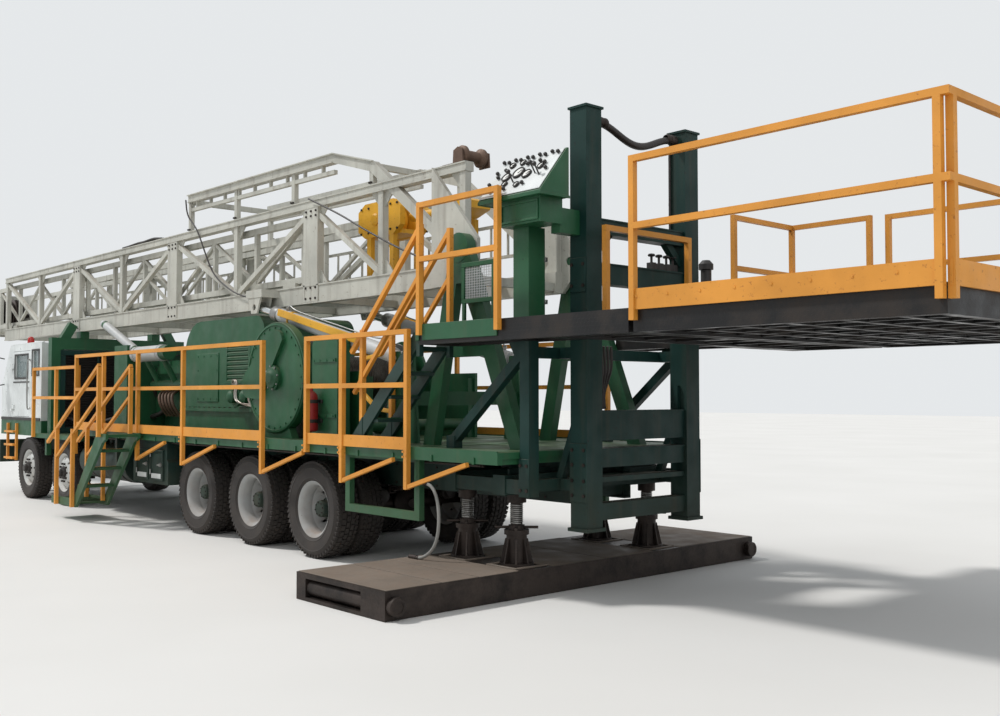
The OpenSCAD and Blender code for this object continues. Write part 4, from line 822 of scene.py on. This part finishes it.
# Deck, stairs and rails
def dress_deck():
    feet = heads((-6.64, -5.54, -4.3, -2.87, -0.8, 0.17, 0.87, 1.99), -1.476, (1.215, 1.265), LEFT)
    bolts("left_post_bolts", feet, orange, 0.024, 0.012)
    grip = Work()
    for k in range(3):
        x, z = -5.17 + 0.26 * k, 0.53 + 0.26 * k
        grip.block((x, -1.925, z), (x + 0.03, -1.485, z + 0.006))
    grip.done("stair_nosings", yellow, 0.003)
    bars("lower_tread_bars", (-6.10, -1.70, 0.280), (0.04, 0, 0), 21, (0.008, 0.44, 0.018), green)
    for k in range(3):
        bars("tread_bars_%d" % k, (-5.12 + 0.26 * k, -1.705, 0.533 + 0.26 * k), (0.03, 0, 0), 7,
             (0.006, 0.43, 0.008), green)
    for k in range(1, 5):
        bars("upper_tread_bars_%d" % k, (1.0 + 0.222 * k, -1.185, 1.335 + 0.235 * k), (0.03, 0, 0), 7,
             (0.006, 0.33, 0.012), green)
    # seams of the deck plates and the raised lip along both sides
    seams = Work()
    for x in (-6.56 + 1.22 * k for k in range(9)):
        seams.block((x, 0.005 - DECK_SIDE, DECK), (x + 0.012, DECK_SIDE - 0.005, DECK + 0.004))
    for s in (-1, 1):
        seams.block((-6.6, s * DECK_SIDE, DECK), (3.26, s * (DECK_SIDE - 0.015), DECK + 0.012))
    seams.done("deck_seams", green)
    bars("deck_side_ribs", (-6.2, -1.405, 1.215), (0.61, 0, 0), 16, (0.03, 0.014, 0.06), green)
    # handrail end that turns back to the foot of the upper stair
    bend = [(0.965, -1.0, 2.245), (0.62, -1.0, 2.20), (0.57, -1.0, 1.87), (0.90, -1.0, 1.66),
            (1.15, -1.0, 1.64)]
    turned_end = Work()
    for a, b in zip(bend, bend[1:]):
        turned_end.bar(a, b, 0.042)
    turned_end.done("handrail_return", yellow, 0.006)
    x, y = -0.10, -1.205
    bottle = [(0, 0), (0.06, 0), (0.078, 0.012), (0.08, 0.04), (0.08, 0.37), (0.07, 0.42), (0.035, 0.455),
              (0.024, 0.46), (0.024, 0.49), (0, 0.49)]
    Work().turned((x, y, 1.40), bottle, Z, 28).done("fire_extinguisher", red, smooth=45)
    valve = Work().block((x - 0.018, y - 0.02, 1.885), (x + 0.018, y + 0.02, 1.925))
    valve.bar((x, -1.215, 1.925), (x, -1.325, 1.945), 0.022, 0.012)
    valve.bar((x, -1.215, 1.905), (x, -1.315, 1.895), 0.02, 0.01)
    for z in (1.52, 1.74):
        valve.block((x - 0.1, -1.128, z - 0.02), (x + 0.1, -1.108, z + 0.02))
        valve.turned((x, y, z), hoop(0.081, 0.086, -0.02, 0.02), Z, 28)
    valve.done("extinguisher_valve_and_bracket", trim, 0.002)


# Engine, chain house and drawworks
def dress_engine():
    bars("radiator_fins", (-6.405, -0.765, 1.975), (0, 0.0255, 0), 61, (0.012, 0.004, 1.05), trim)
    bars("radiator_tubes", (-6.408, 0, 1.49), (0, 0, 0.058), 18, (0.01, 1.55, 0.012), silver)
    covers = [((-5.72 + 0.45 * i + dx, s * (0.33 + t), 2.35), Z) for i in range(3) for dx in (-0.08, 0.28)
              for t in (-0.08, 0.08) for s in (-1, 1)]
    bolts("rocker_cover_bolts", covers, oily_steel, 0.022, 0.012)
    ports = [((-5.74 + 0.225 * i + dx, s * 0.425, 1.98), (0, s, 0)) for i in range(6)
             for dx in (-0.055, 0.055) for s in (-1, 1)]
    bolts("port_flange_nuts", ports, scorched, 0.02, 0.02, slot="dark_steel")
    bend = ((0, 0.20, 2.02), (0, 0.14, 2.12), (-0.02, 0.19, 2.22), (-0.02, 0.235, 2.285))
    pipes = [[(-5.74 + 0.225 * i + dx, s * y, z) for dx, y, z in bend] for i in range(6) for s in (-1, 1)]
    hoses("injector_pipes", pipes, 0.012, bright_steel, pitch=0.03, sides=6)
    can = [(0, -0.36), (0.16, -0.36), (0.19, -0.34), (0.19, -0.30), (0.175, -0.28), (0.175, 0.28),
           (0.19, 0.3), (0.19, 0.33), (0.12, 0.36), (0.09, 0.42), (0, 0.42)]
    cleaner = Work().turned((-5.55, 0.62, 2.52), can, X, 36)
    for x in (-5.75, -5.35):
        cleaner.block((x, 0.45, 2.26), (x + 0.05, 0.75, 2.40))
    cleaner.done("air_cleaner", cab_white)
    y, z = -0.78, 2.45
    wrap = Work().turned((-5.88, y, z), hoop(0.112, 0.118, 0, 1.0), X, 36)
    for x in (-5.80, -4.98):
        wrap.turned((x, y, z), hoop(0.116, 0.126, 0, 0.03), X, 36)
    a, b = Vector((-5.85, y, 2.49)), Vector((-7.2, y, 3.0))
    wrap.turned(a.lerp(b, 0.08), hoop(0.062, 0.068, 0, 1.2), b - a, 24)
    lip = [(0.062, -0.05), (0.066, -0.05), (0.066, 0.004), (0.05, 0.004), (0.05, -0.03), (0, -0.03),
           (0, -0.05)]
    wrap.turned(b, lip, b - a, 24)
    wrap.done("exhaust_dressing", silver)
    # rust-brown pipework below the heads
    bend = ((-5.5, -0.44, 1.90), (-5.42, -0.60, 1.82), (-5.34, -0.62, 1.66), (-5.36, -0.50, 1.50))
    hoses("charge_pipes", [[(x + 0.11 * k, y, z) for x, y, z in bend] for k in range(5)], 0.045, rusty_steel,
          pitch=0.04)
    hoses("coolant_pipes", [
        [(-5.99, 0.5, 2.35), (-5.8, 0.45, 2.42), (-5.6, 0.33, 2.40), (-5.45, 0.33, 2.36)],
        [(-5.99, -0.45, 1.48), (-5.9, -0.5, 1.48), (-5.7, -0.48, 1.52), (-5.55, -0.43, 1.60)]],
        0.075, hose_rubber, sides=14)
    fan = Work()
    for y, z in on_circle(1.0, 8):
        fan.bar((-5.975, 0.08 * y, 2.0 + 0.08 * z), (-5.975, 0.36 * y, 2.0 + 0.36 * z), 0.02, 0.11)
    fan.turned((-5.99, 0, 2.0), hoop(0.452, 0.47, -0.01, 0.075), X, 48)
    fan.turned((-5.955, 0, 2.0), [(0, 0), (0.09, 0), (0.09, 0.05), (0.05, 0.07), (0, 0.07)], X, 24)
    fan.done("fan_and_cowl_ring", trim)


def dress_house():
    for s, hand in ((-1, "left"), (1, "right")):
        bars("house_louvres_" + hand, (-2.765, s * 0.693, 2.020), (0, 0, 0.062), 8, (0.585, 0.034, 0.006),
             green, (-s * 0.7, 0, 0))
        rim = Work().frame((-3.10, s * 0.700, 1.97), (-2.43, s * 0.708, 2.52), 0.035)
        rim.done("louvre_rim_" + hand, green, 0.004)
        cover = Work().block((-3.95, s * 0.700, 1.72), (-3.30, s * 0.712, 2.40))
        cover.done("house_cover_" + hand, green, 0.004)
        out = (0, s, 0)
        edge = heads((-3.91, -3.73, -3.52, -3.34), s * 0.712, (1.76, 2.36), out)
        edge += heads((-3.91, -3.34), s * 0.712, (1.96, 2.16), out)
        bolts("house_cover_bolts_" + hand, edge, green, 0.026, 0.014)
        bolts("house_flange_bolts_" + hand, heads([-4.3 + 0.15 * k for k in range(15)], s * 0.718, (1.640,),
                                                  Z), oily_steel, 0.03, 0.02)
    motors, z = (-2.60, -2.26), 1.79
    collar = [(0.118, -0.02), (0.132, -0.015), (0.132, 0.02), (0.10, 0.028), (0.088, 0.03)]
    cap = [(0, 0.03), (0.03, 0.03), (0.06, 0.016), (0.08, 0.0), (0, 0)]
    flanges = Work()
    for x in motors:
        flanges.turned((x, -0.80, z), collar, LEFT, 30).turned((x, -0.90, z), cap, LEFT, 24)
        flanges.block((x - 0.05, -0.88, z + 0.08), (x + 0.05, -0.80, z + 0.135))
    flanges.done("motor_flanges", green)
    places = [place for x in motors for place in around((x, -0.818, z), 0.108, 8, LEFT)]
    bolts("motor_bolts", places, bright_steel, 0.02, 0.014)
    lines = []
    for x, d in ((-2.62, 0.0), (-2.58, 0.03), (-2.28, 0.06), (-2.24, 0.09)):
        lines.append([(x, -0.84, 1.92), (x + 0.02, -0.86, 2.0), (x + 0.14, -0.88, 1.98),
                      (x + 0.2, -0.90, 1.74), (-1.9, -0.88, 1.68 - d), (-1.62, -0.87, 1.66 - d),
                      (-1.5, -0.86, 1.45)])
    hoses("motor_lines", lines, 0.026, scorched, pitch=0.03)


def dress_drawworks():
    # rim of the chain guard, its inspection cap and hub cap
    x, z = DRUM_X, DRUM_Z
    edge = [(0.625, 0), (0.66, 0), (0.668, -0.01), (0.668, -0.10), (0.655, -0.118), (0.655, 0.008),
            (0.63, 0.012)]
    inspection = [(0, 0.03), (0.05, 0.03), (0.07, 0.02), (0.075, 0), (0, 0)]
    hub = [(0, 0.05), (0.06, 0.05), (0.085, 0.03), (0.12, 0.02), (0.13, 0), (0, 0)]
    guard = Work().turned((x, -1.12, z), edge, LEFT, 72)
    guard.turned((x + 0.03, -1.12, z + 0.50), inspection, LEFT, 28).turned((x, -1.16, z), hub, LEFT, 32)
    guard.done("guard_rim_and_caps", green)
    bolts("guard_bolts", around((x, -1.125, z), 0.60, 28, LEFT), green, 0.026)
    bolts("guard_hub_bolts", around((x, -1.166, z), 0.14, 8, LEFT, 0.2), bright_steel, 0.024, 0.014)
    case = heads((-0.17, -0.05, 0.09, 0.22), -1.124, (1.58, 2.20), LEFT)
    bolts("gear_case_bolts", case, green, 0.026, 0.014)
    for layer, r in enumerate((0.243, 0.268)):
        grown("rope_layer_%d" % layer, COIL, {"Centre": (x, 0.60, z), "Radius": r, "Turns": 44.0,
                                              "Length": 1.2, "Thickness": 0.027, "Steps": 20}, rope_steel,
              smooth=60, body="drum")
    places = [place for s in (-1, 1) for place in around((x, s * 0.662, z), 0.40, 16, (0, s, 0))]
    bolts("drum_flange_bolts", places, oily_steel, 0.03, 0.018, body="drum")
    bolts("side_plate_bolts", both(heads((-1.52, -1.40, 0.22, 0.34), 0.82, (1.36, 1.56, 1.9))), green)


# Mast, its guard frame and cylinders
def dress_mast():
    front, rear, low, high, side = -12.6, 2.0, 2.93, 4.20, 0.70
    posts = [1.945, 0.510, -0.925, -2.861, -4.797, -6.732, -8.668, -10.604, -12.540]
    wide = posts[2:8:2]
    lips = Work()
    for z0, z1 in ((low, low + 0.018), (low + 0.212, low + 0.23), (high - 0.10, high - 0.085),
                   (high - 0.014, high)):
        lips.block((front, side, z0), (rear, side + 0.012, z1))
    lips.mirrored().done("chord_lips", mast_white, body="mast")
    knees = Work()
    for x in posts:
        half = 0.145 if x in wide else 0.045
        for s in (-1, 1):
            near, far = x + s * half, x + s * (half + 0.17)
            if front < far + s * 0.03 < rear:
                for z, rise in ((low + 0.23, 0.19), (high - 0.10, -0.18)):
                    knees.plate([(near, z), (far, z), (near, z + rise)], 0.648, 0.662)
        if x in wide:
            knees.frame((x - 0.165, side, low + 0.02), (x + 0.165, side + 0.012, low + 0.26), 0.03)
            knees.block((x - 0.205, 0.63, low + 0.23), (x - 0.165, 0.69, high - 0.10))
    knees.mirrored().done("mast_gussets", mast_white, body="mast")
    rows = heads([x + dx for x in wide for dx in (-0.11, 0.0, 0.11)], side + 0.012,
                 (low + 0.06, low + 0.19, high - 0.14, high - 0.2))
    bolts("mast_post_bolts", both(rows), oily_steel, body="mast")
    # ladder on the far side, laid along the mast
    ladder = Work()
    for z in (3.42, 3.80):
        ladder.block((front + 0.3, 0.735, z), (1.3, 0.77, z + 0.035))
    for x in posts[1:8]:
        for z in (3.437, 3.817):
            ladder.block((x - 0.02, 0.69, z - 0.02), (x + 0.02, 0.74, z + 0.02))
    ladder.done("ladder_stiles", mast_white, body="mast")
    bars("ladder_rungs", (front + 0.45, 0.7525, 3.627), (0.3, 0, 0), 46, (0.022, 0.022, 0.36), mast_white,
         body="mast")
    # cables clipped to the mast's side
    hoses("mast_cables", [
        [(-4.29, -0.745, 4.66), (-4.20, -0.75, 4.42), (-3.90, -0.745, 4.15), (-3.45, -0.745, 3.56),
         (-3.03, -0.745, 3.30), (-2.62, -0.745, 3.15), (-2.20, -0.745, 3.08)],
        [(-0.93, -0.745, 4.21), (-0.27, -0.742, 3.94), (0.34, -0.738, 3.66), (0.95, -0.735, 3.40),
         (1.60, -0.73, 3.17)]], 0.022, hose_rubber, pitch=0.06, sides=8, body="mast")
    wave = ((-6.75, 0, 4.22), (-6.5, 0, 4.225), (-6.2, 0.02, 4.245), (-5.9, -0.015, 4.23), (-5.6, 0.01, 4.25),
            (-5.3, 0, 4.22))
    hoses("chord_top_hoses", [[(x, y + dy, z) for x, dy, z in wave] for y in (-0.66, -0.62, -0.58)], 0.034,
          hose_rubber, body="mast")
    # rusty guide roller at the pivot end
    spool = [(0.075, 0.16), (0.10, 0.14), (0.10, 0.11), (0.06, 0.08)]
    spool = [(0, -0.16)] + [(r, -y) for r, y in spool] + [(r, y) for r, y in spool[::-1]] + [(0, 0.16)]
    roller = Work().turned((1.86, -0.50, 4.29), spool, sides=28)
    for y in (-0.68, -0.32):
        ear = [(1.78, 4.19), (1.94, 4.19), (1.93, 4.34), (1.86, 4.37), (1.79, 4.34)]
        roller.plate(ear, y - 0.01, y + 0.01)
    roller.bar((1.9, -0.6, 4.205), (1.6, -0.6, 4.205), 0.16, 0.02)
    roller.done("guide_roller", rusty_steel, body="mast")
    # guard frame: flange strips and the cross rails
    flange = Work().bar((-4.33, -side, 4.735), (-0.46, -side, 4.695), 0.03, 0.014)
    flange.bar((-0.46, -side, 4.695), (0.36, -side, 4.47), 0.03, 0.014)
    flange.bar((-4.30, -side, 4.63), (-0.47, -side, 4.59), 0.03, 0.012)
    flange.bar((-4.26, -0.65, 4.52), (-0.47, -0.65, 4.48), 0.05, 0.05)
    for x in (-4.1 + 0.42 * k for k in range(9)):
        flange.bar((x, -0.65, 4.50), (x, -0.65, 4.64), 0.04, 0.03)
    flange.mirrored().done("guard_frame_flanges", mast_white, body="mast")
    feet = heads((-4.31, -4.27, -2.92, -2.88, -1.42, -1.38, 0.29, 0.32), 0.69, (4.23,))
    bolts("guard_frame_bolts", both(feet), oily_steel, 0.026, 0.03, body="mast")
    # travelling block: caps of the sheave pin and plate bolts
    cap = [(0, 0.03), (0.05, 0.03), (0.075, 0.01), (0.075, 0), (0, 0)]
    caps = Work().turned((-0.26, -0.225, 3.93), cap, LEFT, 24).mirrored()
    caps.done("block_pin_caps", yellow, body="mast")
    cheek = heads((-0.55, -0.40, -0.1, 0.05, 0.18), 0.222, (3.78, 4.08))
    bolts("block_bolts", both(cheek), oily_steel, 0.03, 0.018, body="mast")


def dress_cylinders():
    """Glands, ports, oil pipes and the yellow props of the raising cylinders."""
    body = "raising_barrels"
    base, u = Vector((1.15, 0.85, 2.2)), Vector((-3.05, 0, 0.73)).normalized()
    up = Vector((-u.z, 0, u.x)) * -1
    section = [(0.056, 0.14), (0.085, 0.14), (0.098, 0.12), (0.098, 0), (0.086, -0.01), (0.056, -0.01)]
    gland = Work().turned(base + 2.60 * u, section, u, 32)
    for s in (0.30, 2.45):
        gland.tube(base + s * u + up * 0.08, base + s * u + up * 0.13, 0.024, 12)
    gland.mirrored().done("cylinder_glands", bright_steel, body=body)
    run = ((0.30, 0.13), (0.34, 0.15), (0.6, 0.115), (1.4, 0.112), (2.2, 0.115), (2.41, 0.15), (2.45, 0.13))
    pipe = [tuple(base + s * u + up * d) for s, d in run]
    hoses("cylinder_pipes", [pipe, [(x, -y, z) for x, y, z in pipe]], 0.018, bright_steel, sides=8, body=body)
    lift = Vector((0, 0.10, 0)) + up * 0.05
    prop = Work().bar(base + 0.75 * u + lift, base + 2.5 * u + lift, 0.03, 0.085)
    for s in (0.95, 2.3):
        prop.turned(base + s * u, hoop(0.086, 0.094, -0.02, 0.02), u, 32)
    prop.mirrored().done("cylinder_props", yellow, 0.004, body=body)


# Driller's console: places are metres across its panel and a share of the way up it; gauges add a radius
KNOBS = [(0.05 + 0.078 * k, 0.90 - 0.03 * (k % 2)) for k in range(10)]
KNOBS += [(0.06, 0.62), (0.11, 0.50), (0.05, 0.34), (0.16, 0.66), (0.20, 0.24), (0.30, 0.16), (0.42, 0.72),
          (0.50, 0.70), (0.58, 0.73), (0.66, 0.66), (0.72, 0.50), (0.52, 0.22), (0.12, 0.15)]
GAUGES = ((0.22, 0.48, 0.052), (0.36, 0.54, 0.066), (0.49, 0.46, 0.052), (0.20, 0.78, 0.034),
          (0.33, 0.80, 0.034), (0.62, 0.60, 0.036), (0.26, 0.30, 0.032), (0.44, 0.22, 0.032))


def dress_console():
    x0, x1, foot, head = 3.0, 3.8, Vector((0, -1.392, 3.552)), Vector((0, -1.062, 3.962))
    slope = (head - foot).normalized()
    out = Vector((0, -slope.z, slope.y))
    tilt = Matrix((Vector(X), slope, out)).transposed().to_4x4()

    def at(across, share, lift=0.0):
        return Vector((x0 + across, 0, 0)) + foot.lerp(head, share) + out * lift

    sheet = Work().cube(at(0.4, 0.5, 0.004), (x1 - x0 - 0.03, (head - foot).length - 0.03, 0.008), tilt)
    sheet.done("console_panel", cab_white, 0.003)
    small = Work()
    knob = [(0, 0.034), (0.012, 0.034), (0.017, 0.028), (0.018, 0.010), (0.009, 0.007), (0.009, 0), (0, 0)]
    for across, share in KNOBS:
        small.turned(at(across, share, 0.008), knob, out, 14)
    ball = [(0, 0.022), (0.015, 0.018), (0.021, 0.004), (0.016, -0.012), (0, -0.016)]
    for across, share in ((0.60, 0.44), (0.67, 0.38), (0.36, 0.32)):
        root = at(across, share, 0.008)
        tip = root + out * 0.10 + slope * 0.03
        small.tube(root, tip, 0.007, 8).turned(tip, ball, out, 14)
    small.done("console_knobs", trim, smooth=40)
    gauges, dials, hands = Work(), Work(), Work()
    for across, share, r in GAUGES:
        c = at(across, share, 0.008)
        case = [(r * 0.78, 0.018), (r * 0.84, 0.022), (r, 0.018), (r * 1.04, 0.0), (0, 0), (0, 0.010),
                (r * 0.78, 0.010)]
        gauges.turned(c, case, out, 28)
        dials.turned(c, [(0, 0.013), (r * 0.77, 0.013), (r * 0.77, 0.011), (0, 0.011)], out, 28)
        pin = c + out * 0.0155
        hands.bar(pin - slope * r * 0.2, pin + slope * r * 0.4 + Vector((r * 0.5, 0, 0)), r * 0.08, 0.003)
    gauges.done("gauge_cases", trim)
    dials.done("gauge_dials", dial_white)
    hands.done("gauge_hands", trim)
    cheeks = Work()
    for x in (x0, x1):
        cheeks.block((x - 0.006, -1.395, 3.515), (x + 0.006, -1.03, 3.54))
    cheeks.frame((x0 + 0.22, -1.314, 3.32), (x1 - 0.10, -1.322, 3.50), 0.02)
    cheeks.tube((3.645, -0.99, 3.40), (3.645, -0.90, 3.40), 0.045, 20)
    cheeks.done("console_trim", green, 0.003)
    runs = [[(3.10 + 0.07 * k, -1.20, 3.50), (3.12 + 0.05 * k, -1.10, 3.36), (3.22 + 0.03 * k, -1.02, 3.20),
             (3.26 + 0.025 * k, -0.975, 3.0), (3.26 + 0.025 * k, -0.975, 2.52)] for k in range(6)]
    hoses("console_lines", runs, 0.018, hose_rubber, sides=8)
    clamps = Work()
    for z in (2.62, 3.0):
        clamps.block((3.18, -0.992, z), (3.46, -0.962, z + 0.04))
    clamps.done("console_line_clamps", bright_steel, 0.003)


# Rear frame, work floor, jacks and base beam
def dress_frame():
    splice = Work()
    for s in (-1, 1):
        near, far = s * 0.80, s * 0.812
        splice.block((3.575, near, 0.86), (3.785, far, 1.38)).block((3.585, near, 2.72), (3.775, far, 3.03))
        splice.block((3.275, s * 1.14, 0.90), (3.405, s * 1.152, 1.24))
    splice.done("column_splices", dark_green, 0.004)
    rows = heads((3.61, 3.75), 0.812, (0.92, 1.05, 1.19, 1.32, 2.78, 2.97))
    bolts("splice_bolts", both(rows + heads((3.30, 3.38), 1.152, (0.96, 1.18))), oily_steel, 0.034, 0.02)
    lip = Work()
    for z in (1.33, 1.67, 3.0, 3.40):
        for x in (3.60, 3.75):
            lip.block((x, -0.60, z - 0.014), (x + 0.01, 0.60, z))
    for y in (-0.60, 0.56):
        lip.plate([(3.66, 1.67), (3.70, 1.67), (3.70, 1.90), (3.66, 1.90)], y, y + 0.04)
    lip.done("beam_lips", dark_green)
    # valves on the middle cross beam, and the black post on the right walkway
    valves = Work()
    knob = [(0, 0.03), (0.03, 0.024), (0.036, 0.01), (0.03, 0), (0, 0)]
    for y in (0.20, 0.31, 0.42, 0.52):
        valves.block((3.65, y - 0.03, 3.0), (3.72, y + 0.03, 3.07))
        valves.tube((3.685, y, 3.07), (3.685, y, 3.13), 0.012, 8)
        valves.turned((3.685, y, 3.13), knob, Z, 14)
    valves.done("beam_valves", trim)
    post = [(0, 0), (0.11, 0), (0.11, 0.015), (0.06, 0.03), (0.055, 0.04), (0.055, 0.60), (0.075, 0.605),
            (0.075, 0.66), (0.04, 0.70), (0, 0.70)]
    Work().turned((3.60, 1.16, FLOOR + 0.002), post, Z, 24).done("walkway_post", trim)
    cables = ((3.60, 0.585, (4.24, 3.9, 3.5, 3.42)), (3.60, -0.585, (4.2, 3.6, 3.42)),
              (3.56, 0.66, (4.3, 3.3, 2.55)), (3.56, -0.66, (4.3, 3.3, 2.55)),
              (3.55, -0.72, (4.2, 3.2, 1.0)))
    hoses("column_cables", [[(x, y, z) for z in heights] for x, y, heights in cables], 0.024, hose_rubber,
          pitch=0.12, sides=8)
    clips = Work()
    for z in (2.7, 3.2, 3.7, 4.15):
        for y in (-0.66, 0.66):
            clips.block((3.545, y - 0.03, z - 0.015), (3.585, y + 0.03, z + 0.015))
    clips.done("cable_clips", bright_steel, 0.002)
    # pipe runs across the frame below the floor
    fan = [[(3.57, -0.60 + 0.05 * k, 2.26), (3.56, -0.52 + 0.04 * k, 2.05), (3.56, -0.44 + 0.015 * k, 1.82),
            (3.57, -0.42 + 0.012 * k, 1.68)] for k in range(8)]
    hoses("frame_hose_runs", fan, 0.028, hose_rubber, sides=8)
    hoses("frame_pipes", [[(3.57, -0.59, z), (3.57, 0.59, z)] for z in (1.27, 1.44, 1.50, 1.60)], 0.024,
          scorched, pitch=0.4, sides=8)


def dress_floor():
    # mesh guard beside the mast's foot
    guard = Work().frame((2.25, -0.965, 2.70), (2.74, -0.935, 3.10), 0.045)
    for x in (2.26, 2.69):
        guard.block((x, -0.965, FLOOR + 0.002), (x + 0.04, -0.935, 2.71))
    guard.done("mesh_guard_frame", green, 0.004)
    bars("mesh_guard_wires", (2.31, -0.95, 2.90), (0.025, 0, 0), 16, (0.006, 0.006, 0.33), silver)
    bars("mesh_guard_cross_wires", (2.495, -0.95, 2.76), (0, 0, 0.025), 12, (0.42, 0.005, 0.005), silver)
    edge = Work()
    for x0, x1 in ((2.206, 3.274), (2.10, 2.154)):
        edge.block((x0, -1.414, 2.33), (x1, -1.400, FLOOR + 0.006))
    edge.done("floor_edge_channel", green, 0.003)
    # joists under the floors
    body = "rear_platform"
    bars("floor_joists", (4.35, -1.1, 2.37), (0, 0.44, 0), 9, (0.76, 0.05, 0.13), plate)
    bars("platform_joists", (6.07, -1.2, 2.37), (0, 0.35, 0), 11, (2.3, 0.045, 0.12), plate, body=body)
    bars("platform_cross_joists", (5.2, 0.55, 2.345), (0.42, 0, 0), 5, (0.06, 3.75, 0.08), plate, body=body)
    strips = Work()
    for x in (4.86 + 0.49 * k for k in range(5)):
        strips.block((x, -1.39, FLOOR), (x + 0.012, 2.49, FLOOR + 0.004))
    strips.done("platform_seams", oily_steel, body=body)
    ends = [((4.8, y + s * 0.087, 2.512), (0, s, 0)) for y in (-1.1, 0.4, 1.9) for s in (-1, 1)]
    bolts("hinge_pin_heads", ends, bright_steel, 0.05, 0.014, 16, body=body)
    boards = [((4.9 + 0.3 * k, y, 2.56), (0, s, 0)) for k in range(8) for y,
              s in ((-1.4353, -1), (2.5353, 1))]
    bolts("toe_board_bolts", boards, orange, 0.022, 0.01, body=body)


def dress_base():
    """Jack threads, the beam's worn top plates and the ends of the pull pipes."""
    for k, (x, y) in enumerate(JACKS):
        grown("jack_thread_%d" % k, COIL, {"Centre": (x, y, 0.63), "Radius": 0.056, "Turns": 10.0,
                                           "Length": 0.18, "Thickness": 0.012, "Over": (0, 0, 0),
                                           "Steps": 24}, bright_steel, smooth=60)
    top = Work()
    for y0, y1 in ((-2.585, -2.02), (-2.005, -1.61), (-1.595, -1.13), (-0.71, 0.0), (0.015, 0.71),
                   (1.13, 2.385)):
        top.block((1.94, y0, BEAM_TOP), (3.26, y1, BEAM_TOP + 0.006))
    for x, y in JACKS:
        top.frame((x - 0.20, y - 0.20, BEAM_TOP), (x + 0.20, y + 0.20, BEAM_TOP + 0.015), 0.03, flat=2)
    top.done("beam_top_plates", worn_plate, 0.003)
    mouth = [(0.052, 0.004), (0.075, 0.004), (0.079, 0), (0.079, -0.05), (0.075, -0.055), (0.052, -0.03)]
    ends = Work().turned((3.33, -2.515, 0.112), mouth, X, 32).turned((3.33, 2.315, 0.112), mouth, X, 32)
    ends.done("pull_pipe_ends", oily_steel)


for dress in (dress_cab, dress_cradle, dress_chassis, dress_deck, dress_engine, dress_house, dress_drawworks,
              dress_mast, dress_cylinders, dress_console, dress_frame, dress_floor, dress_base):
    dress()


def flat_floor():
    mesh = bpy.data.meshes.new("studio_floor")
    mesh.from_pydata([(-90, -90, -0.004), (90, -90, -0.004), (90, 90, -0.004), (-90, 90, -0.004)], [],
                     [(0, 1, 2, 3)])
    obj = bpy.data.objects.new("studio_floor", mesh)
    skin = Skin("pale_studio_floor")
    mesh.materials.append(skin.set(skin.mix(skin.noise(0.35, 3.0), "#d9d6d0", "#e6e3de"), 0.8))
    scene.collection.objects.link(obj)


def set_light():
    world = bpy.data.worlds.new("studio_air")
    scene.world = world
    world.use_nodes = True
    tree = world.node_tree
    tree.nodes.clear()
    out = tree.nodes.new("ShaderNodeOutputWorld")
    seen = add(tree, "ShaderNodeLightPath").outputs
    shown = seen["Is Camera Ray"]
    for kind in ("Is Glossy Ray", "Is Transmission Ray"):
        shown = add(tree, "ShaderNodeMath", {0: shown, 1: seen[kind]}, operation="MAXIMUM").outputs[0]
    air = add(tree, "ShaderNodeBackground", {0: tone("#dfe6ee"), 1: 0.62})
    back = add(tree, "ShaderNodeBackground", {0: tone("#eef1f3"), 1: 0.92})
    mix = add(tree, "ShaderNodeMixShader", {0: shown, 1: air.outputs[0], 2: back.outputs[0]})
    tree.links.new(mix.outputs[0], out.inputs[0])
    for name, power, turn, spread in (("key_sun", 2.3, (38, 8, -62), 7.0),
                                      ("fill_sun", 0.55, (55, 0, 60), 40.0)):
        lamp = bpy.data.lights.new(name, "SUN")
        lamp.energy, lamp.angle = power, math.radians(spread)
        obj = bpy.data.objects.new(name, lamp)
        obj.rotation_euler = [math.radians(a) for a in turn]
        scene.collection.objects.link(obj)


flat_floor()
set_light()
